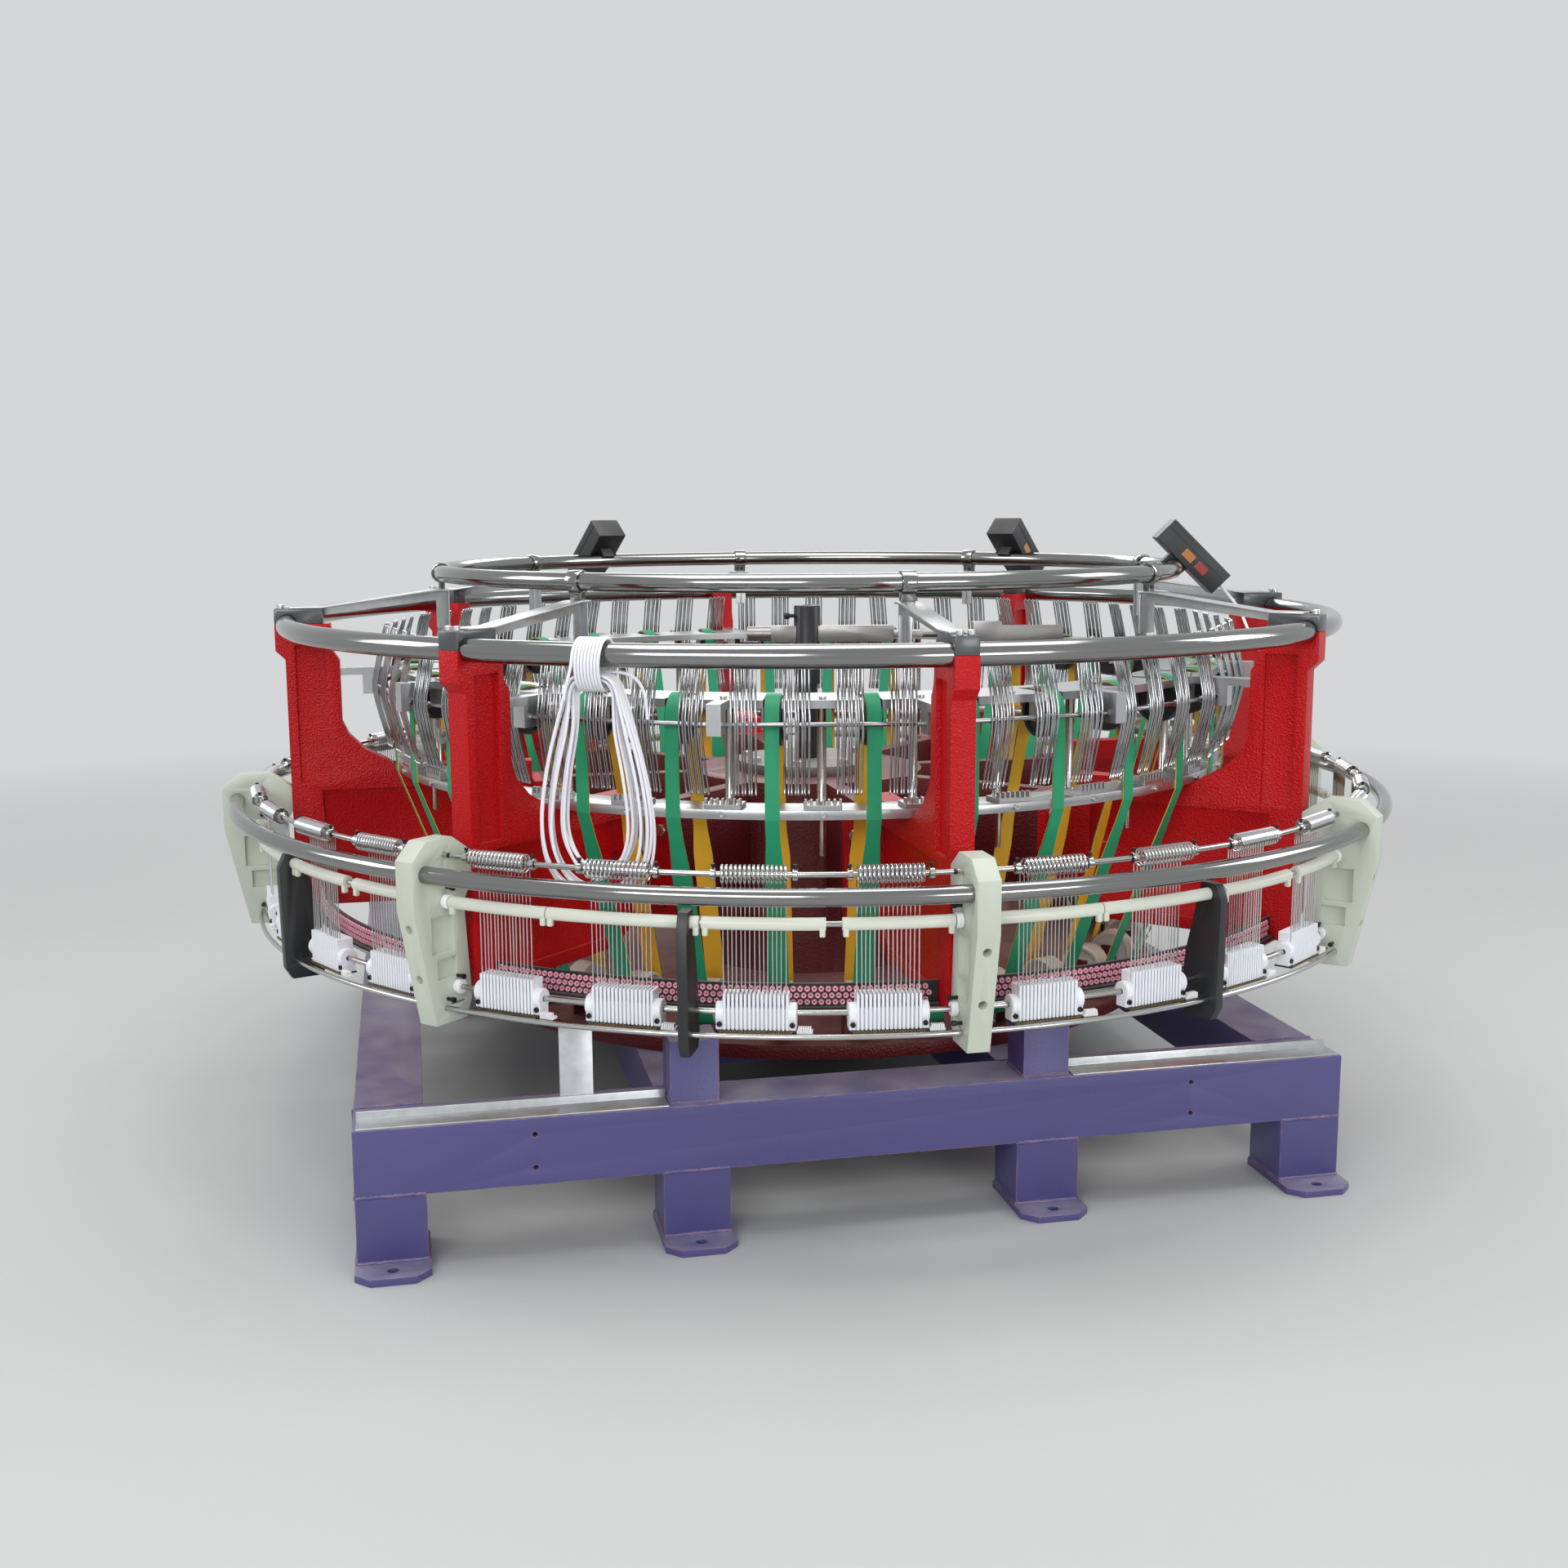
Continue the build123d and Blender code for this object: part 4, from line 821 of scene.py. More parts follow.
# %% Guards, moulded brackets, arms, plates and bolts
rounded("frame_sheets", "folded_guards", 0.0007, sheet_zinc, "sheet")
rounded(
    "black_brackets", "black_brackets_moulded", 0.0035, bracket_black, "bracket_black", 3,
    thin=(BLACK_AT, 0.66))
rounded("drive_arms", "drive_arm_bars", 0.0012, arm_steel, "arm_steel", body="rotor")
rounded("lower_ring_plate", "ring_plate_lower", 0.001, plate_aluminium, "plate_aluminium")
rounded("upper_ring_plate", "ring_plate_upper", 0.0008, plate_aluminium, "plate_aluminium", 1)
rounded("motor_plate", "motor_plate_edges", 0.0012, iron, "motor_paint")
rounded("bolts", "hex_bolts", 0.0007, zinc_bolt, "bolt_zinc", 1)
print("rounded copies made")

# %% [markdown]
# ## The polished rings and the ground rods
# Three bent tubes and four thin rods carry the whole warp path. Swept circles give them a round shine
# that facets would break.

# %% Rings and rods
EMPTY = bpy.data.meshes.new("empty")
for node, name, radius, tube, height, steps in (
        ("upper_ring", "post_head_ring", UPPER_R, UPPER_TUBE, UPPER_Z, 256),
        ("top_ring", "tube_ring_top", TOP_R, TOP_TUBE, TOP_Z, 224),
        ("lower_ring", "bracket_ring", LOWER_R, LOWER_TUBE, LOWER_Z, 288)):
    ring = run_tree(
        ring_tree, EMPTY.copy(), name, Radius=radius, Tube=tube, Height=height, Steps=steps,
        Finish=ring_steel)
    smooth_by_angle(ring, 60)
    show(name, ring, ring_steel, slot="ring_tube", stands_for=(node,))

rods = bmesh.new()
for radius, height in ((SPRING_R, SPRING_Z), (SPRING_R, TUBE_Z), (COMB_R, COMB_Z), (BOTTOM_R, BOTTOM_Z)):
    add_wire(rods, [polar(radius, 1.5 * k, height) for k in range(240)], ROD, sides=10, closed=True)
show_one("guide_rod_rings", rods, rod_steel, 60, slot="rod_steel", stands_for=("guide_rods",))

# %% [markdown]
# ## The pale brackets
# Each moulded bracket ties the lower ring and the rods to a post. Its front has two open bores and two
# black socket screws; nylon nuts and little set screws lock the rods on both sides. The bores are cut
# with a Boolean, because a dark disc would give itself away from the side.

# %% Bores, screws and nuts of the brackets
bores = bmesh.new()
for a in POST_AT:
    for radius, z in ((1.1757, 0.531), (1.157, 0.446)):
        add_turned(
            bores, [(0, -0.026), (0.0072, -0.026), (0.0072, 0.02), (0, 0.02)],
            radial_place(a, radius, 0, z, -12), 20)
rounded("outer_brackets", "pale_brackets", 0.0022, bracket_cream, "guide_cream", cutter=bores)

screw_profile = [
    (0, -0.003), (0.0044, -0.003), (0.0042, 0.0026), (0.0036, 0.0032), (0.0022, 0.003), (0.0022, 0.0012),
    (0, 0.0012)]
screws = bmesh.new()
for z in (0.63, 0.589):
    add_turned(screws, screw_profile, radial_place(0, 1.1787, 0, z), 14)
for radius, z in (
        (SPRING_R, SPRING_Z), (SPRING_R - 0.004, TUBE_Z + 0.022), (COMB_R, COMB_Z + 0.017),
        (BOTTOM_R - 0.004, BOTTOM_Z + 0.014)):
    for way in (1, -1):
        add_turned(
            screws, [(0, 0), (0.003, 0), (0.003, 0.01), (0.0044, 0.0104), (0.0044, 0.016), (0, 0.016)],
            along_place(0, radius, way * 0.0175, z, way), 10)
repeat("bracket_screws", screws, POST_AT, black_screw)
nuts = bmesh.new()
nut_profile = [
    (0.0046, 0), (0.0105, 0), (0.0122, 0.0015), (0.0122, 0.0095), (0.0105, 0.011), (0.0046, 0.011),
    (0.0046, 0)]
for radius, z in ((SPRING_R, TUBE_Z), (COMB_R, COMB_Z)):
    for way in (1, -1):
        add_turned(nuts, nut_profile, along_place(0, radius, way * 0.018, z, way), 18)
repeat("bracket_nuts", nuts, POST_AT, nut_white, slot="comb_white")

# %% [markdown]
# ## Springs and their wires
# A pack is fifteen small torsion springs side by side on the upper guide rod. Each spring's long leg
# runs down behind the cream tube into its slot of the comb block. One spring is drawn as a wire along a
# helix with its leg, the tree repeats it fifteen times, and again at thirty-two places round the loom.

# %% One spring, one pack, all packs
COILS, COIL_R, WIRE_R, PITCH_Y = 1.6, 0.0142, 0.0011, 0.0068
turns = int(COILS * 14)
helix = []
for i in range(turns + 1):
    a = pi + 2 * pi * COILS * i / turns
    helix.append(Vector((COIL_R * cos(a), 0.0032 * (i / turns - 0.5), -COIL_R * sin(a))))
leg = [Vector((-COIL_R, -0.0016, z - SPRING_Z)) for z in (0.44, 0.5, 0.57, 0.625)]
spring = bmesh.new()
add_wire(spring, leg + helix, WIRE_R, sides=5)
one_spring = mesh_of(spring, "one_spring", 70)
rng = random.Random(11)
pack = place_on(
    [(SPRING_R, PITCH_Y * (i - 7), SPRING_Z) for i in range(15)],
    [(rng.uniform(-0.006, 0.006), rng.uniform(-0.004, 0.004), 0) for i in range(15)], one_spring,
    "spring_pack", spring_wire, 70)
springs = round_loom(SPRING_AT, pack, "torsion_springs", spring_wire, 70)
show("torsion_springs", springs, spring_wire, slot="spring_wire", stands_for=("spring_coils", "spring_wires"))
print("springs", len(springs.polygons), "faces")

# %% Collars that keep the packs in place, each with a black screw
collars, collar_screws = bmesh.new(), bmesh.new()
for way in (1, -1):
    place = along_place(0, SPRING_R, way * 0.0575, SPRING_Z, way)
    add_turned(
        collars, [(0.0046, 0), (0.0085, 0), (0.0092, 0.0008), (0.0092, 0.0072), (0.0085, 0.008),
        (0.0046, 0.008), (0.0046, 0)], place, 16)
    add_turned(
        collar_screws, [(0, 0), (0.0018, 0), (0.0018, 0.006), (0.0032, 0.006), (0.0032, 0.01), (0, 0.01)],
        at(SPRING_R, way * 0.0615, SPRING_Z + 0.006), 10)
repeat("rod_collars", collars, SPRING_AT, rod_steel, slot="rod_steel")
repeat("collar_screws", collar_screws, SPRING_AT, black_screw)

# %% [markdown]
# ## Comb blocks
# White moulded blocks guide the spring legs. Sixteen thin ribs stand on a core, leaving fifteen slots;
# round hubs at both ends sit on the guide rod and are pinned by a small black screw.

# %% One block round the loom
block = bmesh.new()
add_bar(block, (0.019, 0.1002, 0.034), at(COMB_R, 0, STRIP_TOP + 0.0175), 0.001, 1)
for i in range(16):
    y = 0.1 * (i / 15 - 0.5) * 0.955
    add_bar(block, (0.0296, 0.004, 0.056), at(COMB_R, y, STRIP_TOP + 0.0288), 0.0008, 1)
for way in (1, -1):
    add_turned(
        block, [(0.0048, 0), (0.0165, 0), (0.0165, 0.011), (0.015, 0.0122), (0.0048, 0.0122), (0.0048, 0)],
        along_place(0, COMB_R, way * 0.0495, COMB_Z, way), 20)
    add_bar(block, (0.024, 0.0115, 0.02), at(COMB_R, way * 0.0555, STRIP_TOP + 0.0105), 0.001, 1)
repeat(
    "comb_blocks_grooved", block, SPRING_AT, comb_white, 25, slot="comb_white", stands_for=("comb_blocks",))
pins = bmesh.new()
for way in (1, -1):
    add_turned(pins, screw_profile, radial_place(0, COMB_R + 0.0122, way * 0.0555, STRIP_TOP + 0.0095), 12)
repeat("block_screws", pins, SPRING_AT, black_screw)

# %% Contact strips: a black board under each block, with a row of gold contacts, and a white plug
boards, contacts, plugs = bmesh.new(), bmesh.new(), bmesh.new()
add_bar(boards, (0.031, 0.118, 0.0028), at(COMB_R, 0, STRIP_TOP - 0.0016), 0.0004, 1)
for i in range(30):
    add_bar(contacts, (0.003, 0.002, 0.0022), at(COMB_R + 0.0148, 0.0037 * (i - 14.5), STRIP_TOP - 0.0014))
add_bar(contacts, (0.0012, 0.112, 0.0006), at(COMB_R + 0.015, 0, STRIP_TOP - 0.003))
for i in range(6):
    add_bar(
        plugs, (0.01, 0.0026, 0.009), at(COMB_R + 0.012, 0.0655 + 0.0034 * i, STRIP_TOP + 0.003), 0.0005, 1)
add_bar(plugs, (0.014, 0.024, 0.0045), at(COMB_R + 0.008, 0.074, STRIP_TOP - 0.0008), 0.0005, 1)
repeat(
    "contact_boards", boards, SPRING_AT, bracket_black, slot="contact_brass", stands_for=("contact_strip",))
repeat("gold_contacts", contacts, SPRING_AT, contact_brass, slot="contact_brass")
repeat("board_plugs", plugs, SPRING_AT, nut_white, slot="comb_white")

# %% [markdown]
# ## Cream guide tubes
# The wires press outward against smooth tubes slipped over the middle rod. Every tube ends in a collar
# with a hooked foot, and the thin rod shows between two tubes.

# %% Tubes and feet
SPANS = [(0.035, 0.243), (0.245, 0.525), (0.529, 0.742), (0.77, 0.965)]
tubes = bmesh.new()
for start, end in SPANS:
    a0, a1 = 45 * start, 45 * end
    add_wire(
        tubes, [polar(SPRING_R, a0 + (a1 - a0) * i / 12, TUBE_Z) for i in range(13)], GUIDE_TUBE, sides=14)
    for a, way in ((a0, 1), (a1, -1)):
        middle = a + way * 0.27
        add_wire(
            tubes, [polar(SPRING_R, middle - 0.22, TUBE_Z), polar(SPRING_R, middle + 0.22, TUBE_Z)], 0.0101,
            sides=16)
        add_bar(
            tubes, (0.009, 0.0088, 0.016), spin(middle) @ at(SPRING_R + 0.0035, 0, TUBE_Z - 0.011), 0.002, 2)
repeat("cream_tubes", tubes, POST_AT, guide_cream, 40, slot="guide_cream", stands_for=("guide_tubes",))

# %% [markdown]
# ## Eyelets
# Pink ceramic eyelets stand in three staggered rows on a dark strip between the posts, with a steel
# rail under them. Each eyelet is a turned ring with few faces, because there are nearly sixteen hundred.

# %% Eyelet rows and the rail
EYELETS_IN_ROW, EYELET_R, EYELET_Z, ROW_STEP, FREE_END = 66, 1.0006, 0.4155, 0.0105, 1.75
rounded("eyelet_rails", "eyelet_strips", 0.0006, bracket_black, "rail_steel", 1)
eyelet = bmesh.new()
add_turned(
    eyelet, [(0.0016, 0), (0.0048, 0), (0.0043, 0.0026), (0.0016, 0.0018), (0.0016, 0)], Matrix.Identity(4),
    9)
one_eyelet = mesh_of(eyelet, "one_eyelet", 50)
places, leans = [], []
for post in POST_AT:
    for row in range(3):
        for i in range(EYELETS_IN_ROW):
            a = post + FREE_END + (45 - 2 * FREE_END) * (i + 0.5 * (row % 2)) / EYELETS_IN_ROW
            places.append(polar(EYELET_R, a, EYELET_Z + ROW_STEP * row))
            leans.append((0, radians(90), radians(a)))
eyelets = place_on(places, leans, one_eyelet, "eyelets", eyelet_pink, 50)
show("ceramic_eyelets", eyelets, eyelet_pink)
rail = bmesh.new()
for post in POST_AT:
    add_wire(rail, [polar(1.012, post + 1.5 + 42 * i / 16, 0.4035) for i in range(17)], 0.0028, sides=8)
show_one("eyelet_rail_rods", rail, rod_steel, 60, slot="rail_steel")
print("eyelets", len(places))

# %% [markdown]
# ## Flat belts and their pulleys
# A belt is green outside and yellow inside, so each is two thin layers that follow the same loop:
# round the dark top pulley, over the edge of the ring plate and round the white pulley near the floor.
# The loop is worked out as straight tangents between arcs, the way a belt really lies.

# %% The taut loop round three circles
# each circle of the loop is its distance from the axis, its height and its radius
PULLEY = (0.805, 0.835, 0.042)
LOW_PULLEY = (0.668, 0.316, 0.04)
EDGE = (0.847, 0.676, 0.0)
ARC_STEPS, CORNER_STEPS, STRAIGHT_STEPS = 14, 3, 10


def taut_loop(circles, extra):
    circles = [(x, z, r + extra) for x, z, r in circles]
    n = len(circles)
    leave = []
    for i in range(n):
        (x0, z0, r0), (x1, z1, r1) = circles[i], circles[(i + 1) % n]
        span = hypot(x1 - x0, z1 - z0)
        leave.append(atan2(z1 - z0, x1 - x0) - pi / 2 + asin((r0 - r1) / span))
    points = []
    for i, (x, z, r) in enumerate(circles):
        a0, a1 = leave[i - 1], leave[i]
        while a1 < a0:
            a1 += 2 * pi
        steps = ARC_STEPS if r > 0.01 else CORNER_STEPS
        points += [(x + r * cos(a0 + (a1 - a0) * k / steps), z + r * sin(a0 + (a1 - a0) * k / steps))
                   for k in range(steps + 1)]
        x1, z1, r1 = circles[(i + 1) % n]
        end = (x1 + r1 * cos(leave[i]), z1 + r1 * sin(leave[i]))
        px, pz = points[-1]
        points += [(px + (end[0] - px) * k / STRAIGHT_STEPS, pz + (end[1] - pz) * k / STRAIGHT_STEPS)
                   for k in range(1, STRAIGHT_STEPS)]
    return points


def belt_width(z):
    share = min(1.0, max(0.0, (0.615 - z) / 0.03))
    return 0.024 + 0.01 * share * share * (3 - 2 * share)


def belt_layer(inner, outer):
    bm = bmesh.new()
    low, high = (taut_loop((EDGE, PULLEY, LOW_PULLEY), t) for t in (inner, outer))
    rows = []
    for (x0, z0), (x1, z1) in zip(low, high):
        half = belt_width(z1) / 2
        rows.append(
            [bm.verts.new(p) for p in ((x0, -half, z0), (x0, half, z0), (x1, half, z1), (x1, -half, z1))])
    for a, b in zip(rows, rows[1:] + rows[:1]):
        for k in range(4):
            m = (k + 1) % 4
            bm.faces.new((a[k], a[m], b[m], b[k]))
    return bm


# the loop starts at the plate edge, so both layers have the same number of points
repeat(
    "belts_green_face", belt_layer(0.0014, 0.003), BELT_AT, belt_green, 40, slot="belt_green",
    stands_for=("belts",))
repeat("belts_yellow_core", belt_layer(0.0001, 0.0014), BELT_AT, belt_yellow, 40, slot="belt_green")

# %% Pulleys, top and bottom, with their pins
dark_pulley = finish(
    "pulley_dark_plastic", paint(44, 44, 46), 0.4, (18.0, 0.2), (700.0, 0.5, 0.15, 0.0003), dust=0.2)


def pulley(radius, width, pin, reach):
    half = width / 2
    rim, web = radius - 0.006, half - 0.005
    return (
        [(0, -reach), (pin, -reach), (pin, -half - 0.0006), (pin * 2.1, -half - 0.0006), (pin * 2.1, -web),
        (rim, -web), (rim, -half + 0.001), (rim + 0.001, -half), (radius - 0.0008, -half),
        (radius, -half + 0.0008), (radius, half - 0.0008), (radius - 0.0008, half), (rim + 0.001, half),
        (rim, half - 0.001), (rim, web), (pin * 2.1, web), (pin * 2.1, half + 0.0006), (pin, half + 0.0006),
        (pin, reach), (0, reach)])


for node, name, size, width, reach, material in (
        ("top_pulleys", "top_belt_pulleys", PULLEY, 0.028, 0.0149, dark_pulley),
        ("low_pulleys", "low_belt_pulleys", LOW_PULLEY, 0.038, 0.0199, pulley_white)):
    wheel = bmesh.new()
    add_turned(wheel, pulley(size[2] - 0.0001, width, 0.006, reach), along_place(0, size[0], 0, size[1]), 28)
    repeat(name, wheel, BELT_AT, material, 30, slot="pulley_white", stands_for=(node,))

# %% [markdown]
# ## Hairpin hooks
# A hook is one bright wire bent double: two legs side by side, closed by a bow at the top and turned
# out at the bottom, with a bead where it swings on the rod. Four hooks make a group, four groups hang
# on each straight rod, and every row rides on its own swinging body.

# %% One hook
ROD_X, HOOK_Z, HALF, BOW = 0.868, 0.836, 0.121, 0.029
GAUGE = 0.0019
TOUCH = 0.004 * sqrt(1 + (BOW / HALF) ** 2) + GAUGE + 0.0001


def leg_point(t, y):
    return Vector((TOUCH - BOW * abs(t) ** 1.2, y, t * (HALF - GAUGE)))


legs = [leg_point(-0.985, 0.0033) + Vector((0.003, 0, 0))]
legs += [leg_point(-0.96 + 1.92 * i / 11, 0.0033) for i in range(12)]
legs += [leg_point(0.985, 0.0024), leg_point(1.0, 0.0), leg_point(0.985, -0.0024)]
legs += [leg_point(0.96 - 1.92 * i / 11, -0.0033) for i in range(12)]
legs += [leg_point(-0.985, -0.0033) + Vector((0.003, 0, 0))]
wire_hook = bmesh.new()
add_wire(wire_hook, legs, GAUGE, sides=6)
for y in (-0.0033, 0.0033):
    add_turned(
        wire_hook, [(0, -0.0014), (0.0052, -0.001), (0.0058, 0), (0.0052, 0.001), (0, 0.0014)],
        at(0, y, 0) @ tilt(90, "X"), 12)
one_hook = mesh_of(wire_hook, "one_hook", 60)
spots = [((g - 1.5) * 0.086 + (i - 1.5) * 0.011) for g in range(4) for i in range(4)]
rod_half = ROD_X * tan(radians(11.25)) - 0.005

# %% Sixteen rows, each on its own body; two hang less evenly
UNEVEN_ROWS = (13, 14)
for k in range(1, ROWS + 1):
    rng = random.Random(100 + k)
    loose = 0.04 if k in UNEVEN_ROWS else 0.006
    row = place_on(
        [(ROD_X, y, HOOK_Z) for y in spots],
        [(rng.uniform(-loose, loose) * 0.5, rng.uniform(-loose, loose), 0) for y in spots], one_hook, "row",
        chrome, 60)
    joined = bmesh.new()
    joined.from_mesh(row)
    add_turned(
        joined, [(0, -rod_half), (0.0035, -rod_half), (0.004, -rod_half + 0.0006), (0.004, rod_half - 0.0006),
        (0.0035, rod_half), (0, rod_half)], along_place(0, ROD_X, 0, HOOK_Z), 12)
    bmesh.ops.transform(joined, matrix=spin((k - 0.5) * 22.5), verts=joined.verts)
    mesh = mesh_of(joined, f"hairpin_hooks_{k:02d}", 60, outward=False)
    show(
        f"hairpin_hooks_{k:02d}", mesh, chrome, body=f"hooks_{k:02d}", slot="hook_wire",
        stands_for=(f"hook_row_{k:02d}",))
print("hooks", ROWS * len(spots))

# %% [markdown]
# ## Comb plates and screws on the ring plates
# Under each hook group a small milled comb keeps the hooks apart: a plate with upright teeth and one
# round-headed screw. The upper ring plate shows its own screws between the belts.

# %% Comb plates
comb = bmesh.new()
add_bar(comb, (0.044, 0.062, 0.0078), at(0.822, 0, PLATE_TOP + 0.0039), 0.0006, 1)
for i in range(7):
    add_bar(comb, (0.01, 0.0042, 0.0105), at(0.8385, 0.0095 * (i - 3), PLATE_TOP + 0.0125), 0.0006, 1)
repeat(
    "comb_plates_toothed", comb, PILLAR_AT, plate_aluminium, 30, slot="plate_aluminium",
    stands_for=("comb_plates",))
heads = bmesh.new()
for y in (-0.02, 0.02):
    add_turned(
        heads, [(0, 0), (0.0045, 0), (0.0043, 0.0018), (0.003, 0.0032), (0, 0.0037)],
        at(0.812, y, PLATE_TOP + 0.0078), 14)
add_turned(
    heads, [(0, 0), (0.0055, 0), (0.0055, 0.0035), (0.0048, 0.0042), (0.0026, 0.0042), (0.0026, 0.0022),
    (0, 0.0022)], radial_place(0, 0.847, 0, 0.684), 16)
add_turned(
    heads,
    [(0, 0), (0.006, 0), (0.006, 0.0045), (0.0052, 0.0052), (0.003, 0.0052), (0.003, 0.003), (0, 0.003)],
    at(0.826, 0, 0.872), 16)
repeat("plate_screws", heads, PILLAR_AT, zinc_bolt, slot="bolt_zinc")

# %% Pillars and pins with turned ends
posts_between = bmesh.new()
add_turned(
    posts_between, [(0, 0), (0.009, 0), (0.009, 0.004), (0.0078, 0.006), (0.0078, 0.16), (0.009, 0.162),
    (0.009, 0.166), (0, 0.166)], at(0.782, 0, PLATE_TOP), 18)
repeat("plate_pillars", posts_between, PILLAR_AT, rod_steel, slot="rod_steel", stands_for=("pillars",))
pin = bmesh.new()
add_turned(pin, [(0, 0), (0.0042, 0), (0.005, 0.0012), (0.005, 0.07), (0, 0.07)], at(0.79, 0, 0.606), 16)
repeat(
    "hanging_pins", pin, [11.25 + 22.5 * k for k in range(16)], rod_steel, slot="rod_steel",
    stands_for=("guide_pins",))

# %% [markdown]
# ## Shaft, sensor boxes, motor and welds
# These are single pieces, so plain mesh code is quickest. The hub carries two black bolts, the sensor
# boxes have a lid seam and corner screws, the motor has cooling fins, and the frame shows its welds.

# %% Hub and its two bolts
hub = bmesh.new()
add_turned(
    hub, [(0, 0.05), (0.0205, 0.05), (0.022, 0.0515), (0.022, 0.815), (0.026, 0.815), (0.0275, 0.8165),
    (0.0275, 0.9765), (0.0255, 0.979), (0.012, 0.979), (0.012, 0.972), (0, 0.972)], Matrix.Identity(4), 40)
show_one("main_shaft_hub", hub, shaft_black, 40, body="rotor", slot="shaft_black", stands_for=("main_shaft",))
bolts = bmesh.new()
for z in (0.958, 0.882):
    place = at(-0.0262, -0.004, z) @ tilt(-90, "Y")
    add_turned(
        bolts, [(0, 0), (0.004, 0), (0.004, 0.013), (0.0068, 0.013), (0.0072, 0.0136), (0.0072, 0.022),
        (0.0066, 0.023), (0.0035, 0.023), (0.0035, 0.019), (0, 0.019)], place, 18)
show_one("hub_bolts", bolts, black_screw, body="rotor")

# %% Sensor boxes
rounded("sensor_boxes", "sensor_box_shells", 0.0035, box_black, "box_black", 3)
BOX_AT = (-16.5, 37.0, 117.5)


def in_box(degrees, x, y, z):
    # a box leans outward; x runs down its length, y across it and z out through its lid
    return spin(degrees) @ at(0.785, 0, 1.078) @ tilt(45, "Y") @ at(x, y, z)


lids, lid_screws, glands = bmesh.new(), bmesh.new(), bmesh.new()
for a in BOX_AT:
    for y in (-0.0374, 0.0374):
        add_bar(lids, (0.1515, 0.0008, 0.0012), in_box(a, 0, y, 0.0085))
    for u in (-0.072, 0.072):
        for v in (-0.03, 0.03):
            add_turned(
                lid_screws, [(0, 0), (0.0032, 0), (0.003, 0.0008), (0, 0.0012)], in_box(a, u, v, 0.0258), 12)
    add_turned(
        glands, [(0, -0.001), (0.0085, -0.001), (0.0085, 0.0035), (0.0062, 0.004), (0.0062, 0.0052),
        (0.0032, 0.0056), (0, 0.0056)], in_box(a, 0.0798, 0, 0) @ tilt(90, "Y"), 18)
show_one("box_lid_seams", lids, shaft_black, slot="box_black")
show_one("box_lid_screws", lid_screws, zinc_bolt, slot="bolt_zinc")
show_one("box_cable_glands", glands, box_black, slot="box_black")

# %% Two small unlit windows in the side of each box
for name, tint, color, u in (("amber_windows", "window_amber", paint(176, 112, 52), -0.008),
                             ("red_windows", "window_red", paint(150, 44, 44), 0.028)):
    material = finish(tint, color, 0.18, (60.0, 0.2), (900.0, 0.3, 0.05, 0.0002), coat=0.5)
    panes = bmesh.new()
    for a in BOX_AT:
        add_bar(panes, (0.026, 0.001, 0.017), in_box(a, u, -0.0373, -0.006), 0.0004, 1)
    show_one(name, panes, material, slot="box_black")

# %% Motor with fins, cowl and terminal box
MX, MY, UNDER_TERMINAL_BOX = -0.6, 0.6, (8, 9, 10)
motor = bmesh.new()
add_turned(
    motor, [(0, 0.1201), (0.117, 0.1201), (0.117, 0.132), (0.115, 0.134), (0.097, 0.134), (0.097, 0.322),
    (0.1035, 0.326), (0.105, 0.332), (0.105, 0.378), (0.098, 0.388), (0.085, 0.39), (0, 0.39)], at(MX, MY, 0),
    40)
for k in range(36):
    if k not in UNDER_TERMINAL_BOX:
        add_bar(motor, (0.0085, 0.0026, 0.184), at(MX, MY, 0.228) @ spin(10 * k) @ at(0.1005, 0, 0))
add_bar(motor, (0.08, 0.07, 0.06), at(MX, MY + 0.1045, 0.27), 0.005, 2)
add_bar(motor, (0.084, 0.006, 0.064), at(MX, MY + 0.137, 0.27), 0.002, 2)
show_one("finned_motor", motor, motor_paint, slot="motor_paint", stands_for=("motor",))

# %% Weld beads of the base frame
FX, BEAM_Y, LEG_Y, LEG_X, INNER_LEG_X = -0.09, 0.78, 0.835, (-0.785, -0.3, 0.3, 0.785), (-0.3, 0.3)
RIPPLE, WAVER, BEAD_R, SWELL = 0.0045, 0.0005, 0.0032, 0.22
rng = random.Random(8)
welds = bmesh.new()


def bead(start, end):
    # one ripple in two stands a little higher, as a weld does
    start, end = Vector(start), Vector(end)
    steps = max(3, int((end - start).length / RIPPLE))
    points = [start.lerp(end, i / steps) + Vector([rng.uniform(-WAVER, WAVER) for axis in range(3)])
              for i in range(steps + 1)]
    rings_before = len(welds.verts)
    add_wire(welds, points, BEAD_R, sides=6)
    welds.verts.ensure_lookup_table()
    for i in range(steps + 1):
        swell = 1 + SWELL * (i % 2)
        for v in welds.verts[rings_before + 6 * i:rings_before + 6 * i + 6]:
            v.co = points[i] + (v.co - points[i]) * swell


def square_of_beads(x, y, z, half):
    corners = [
        (x - half, y - half, z), (x + half, y - half, z), (x + half, y + half, z), (x - half, y + half, z)]
    for a, b in zip(corners, corners[1:] + corners[:1]):
        bead(a, b)


for x in LEG_X:
    for y in (-LEG_Y, LEG_Y):
        square_of_beads(FX + x, y, 0.1205, 0.0535)
        square_of_beads(FX + x, y, 0.0125, 0.0545)
for x in INNER_LEG_X:
    for y in (-LEG_Y, LEG_Y):
        square_of_beads(FX + x, y, 0.23, 0.0395)
for x in LEG_X:
    for y in (-BEAM_Y, BEAM_Y):
        for side in (-0.0545, 0.0545):
            bead((FX + x + side, y, 0.124), (FX + x + side, y, 0.228))
        bead((FX + x - 0.054, y, 0.23), (FX + x + 0.054, y, 0.23))
show_one("weld_beads", welds, frame_blue, 60, slot="frame_paint")
print("weld faces done")

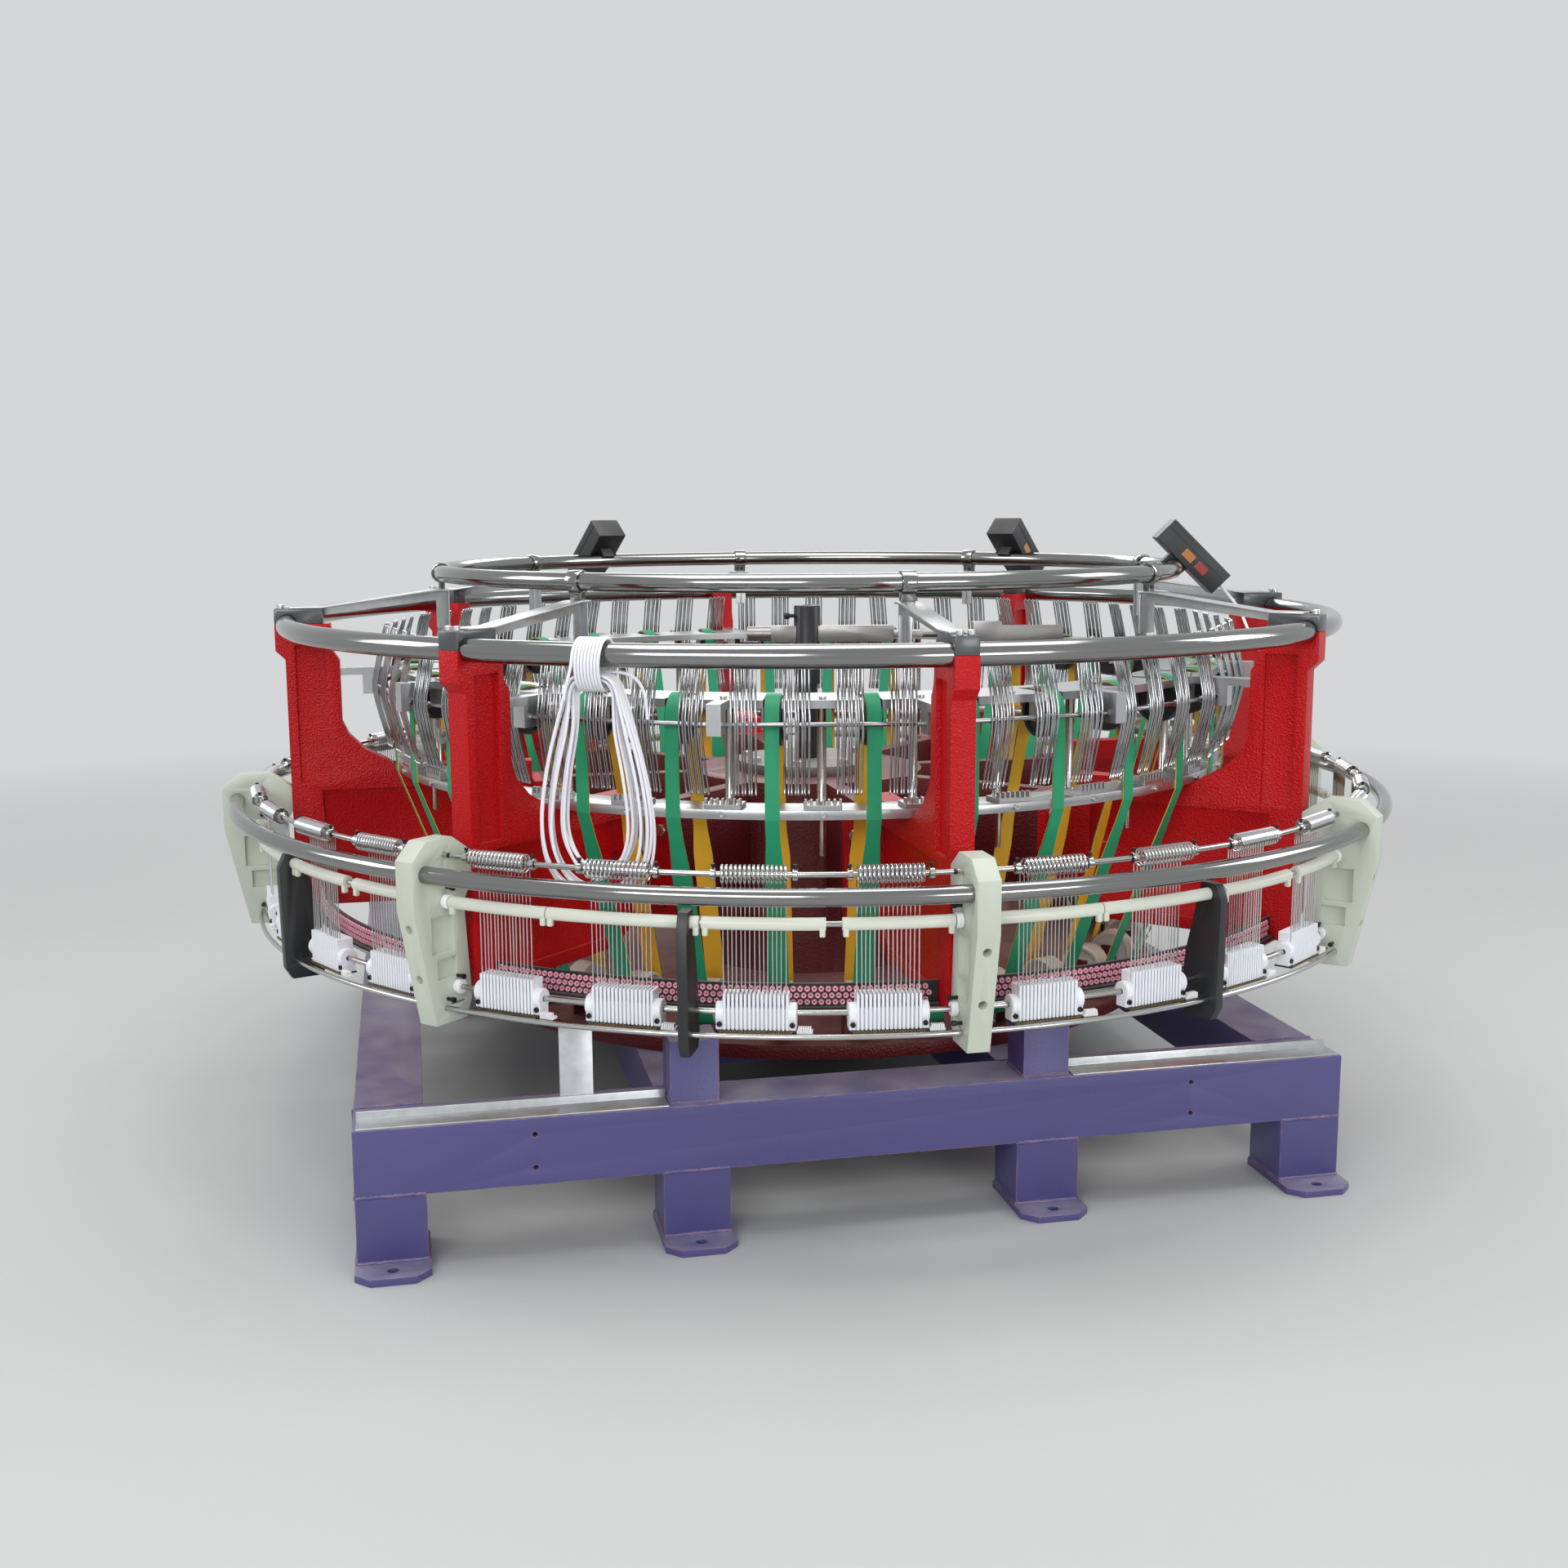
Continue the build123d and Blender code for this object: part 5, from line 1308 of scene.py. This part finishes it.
# %% Bearing caps with their bolts and the belt drive under the frame
rounded("bearings", "bearing_flanges", 0.0015, iron, "iron")
rounded("main_pulley", "drive_pulley_large", 0.0015, iron, "iron", body="rotor")
rounded("motor_pulley", "drive_pulley_small", 0.0012, iron, "iron", body="motor_rotor")
cap_bolts = bmesh.new()
for a in BLACK_AT:
    hexagon_head(cap_bolts, spin(a) @ at(0.128, 0, 0.66), 0.018, 0.011)
show_one("bearing_bolts", cap_bolts, zinc_bolt, 30, slot="bolt_zinc")

# %% [markdown]
# ## Stage
# A pale floor and soft light from six areas show paint and chrome without harsh spots. The world is a
# plain pale grey, seen alike by the camera and by polished metal, and a little dimmer where it only
# fills shadows, so that the lamps still draw bright lines along the rings.

# %% Floor and world
BACKGROUND, SHADOW_FILL = (0.66, 0.67, 0.68, 1), (0.46, 0.47, 0.49, 1)
FADE_START, FADE_RATE = 2.4, 0.3
floor_mesh = bpy.data.meshes.new("floor")
floor_mesh.from_pydata([(-40, -40, 0), (40, -40, 0), (40, 40, 0), (-40, 40, 0)], [], [(0, 1, 2, 3)])
floor = new_object("floor", floor_mesh)
floor_finish = finish("floor_pale", (0.5, 0.51, 0.5, 1), 0.6, (0.6, 0.04), (30.0, 0.5, 0.05, 0.0005))
floor_mesh.materials.append(floor_finish)


def seen_directly(tree):
    seen = tree.nodes.new("ShaderNodeLightPath")
    shown = math_node(tree, "MAXIMUM", seen.outputs["Is Camera Ray"], seen.outputs["Is Glossy Ray"])
    return math_node(tree, "MAXIMUM", shown, seen.outputs["Is Transmission Ray"])


# far from the loom the floor fades into the backdrop, so that no dark horizon cuts the picture
tree = floor_finish.node_tree
away, glow, blend = add_nodes(tree, "ShaderNodeVectorMath", "ShaderNodeEmission", "ShaderNodeMixShader")
away.operation = "LENGTH"
glow.inputs["Color"].default_value = BACKGROUND
link(tree, (here(tree), away.inputs[0]))
beyond = math_node(tree, "SUBTRACT", away.outputs["Value"], FADE_START)
fade = math_node(tree, "MULTIPLY", beyond, FADE_RATE, clamp=True)
link(tree, (math_node(tree, "MULTIPLY", fade, seen_directly(tree)), blend.inputs[0]),
     (tree.nodes["Principled BSDF"].outputs[0], blend.inputs[1]), (glow.outputs[0], blend.inputs[2]),
     (blend.outputs[0], tree.nodes["Material Output"].inputs["Surface"]))

scene.world = bpy.data.worlds.new("studio")
scene.world.use_nodes = True
tree = scene.world.node_tree
surroundings = mix_colors(tree, seen_directly(tree), SHADOW_FILL, BACKGROUND)
link(tree, (surroundings, tree.nodes["Background"].inputs["Color"]))

# %% Six area lamps: place, what they point at, size and watts
MIDDLE = (0, 0, 0.6)
for name, place, target, size, power in (
        ("ceiling_light", (0.0, -0.4, 3.6), (0, 0, 0.5), (3.6, 2.2), 85),
        ("front_light", (-2.4, -4.4, 2.3), MIDDLE, (2.6, 1.2), 80),
        ("low_front_light", (1.6, -4.8, 1.2), MIDDLE, (2.0, 0.9), 45),
        ("side_light", (4.6, -1.0, 2.6), MIDDLE, (1.6, 2.0), 60),
        ("left_light", (-4.6, 0.6, 2.6), MIDDLE, (1.6, 2.0), 50),
        ("back_light", (0.5, 4.8, 3.2), MIDDLE, (3.2, 1.2), 60)):
    light = bpy.data.lights.new(name, "AREA")
    light.shape = "RECTANGLE"
    light.size, light.size_y = size
    light.energy = power
    lamp = new_object(name, light)
    lamp.location = place
    lamp.rotation_euler = (Vector(target) - Vector(place)).to_track_quat("-Z", "Y").to_euler()
scene.view_settings.view_transform = "Standard"
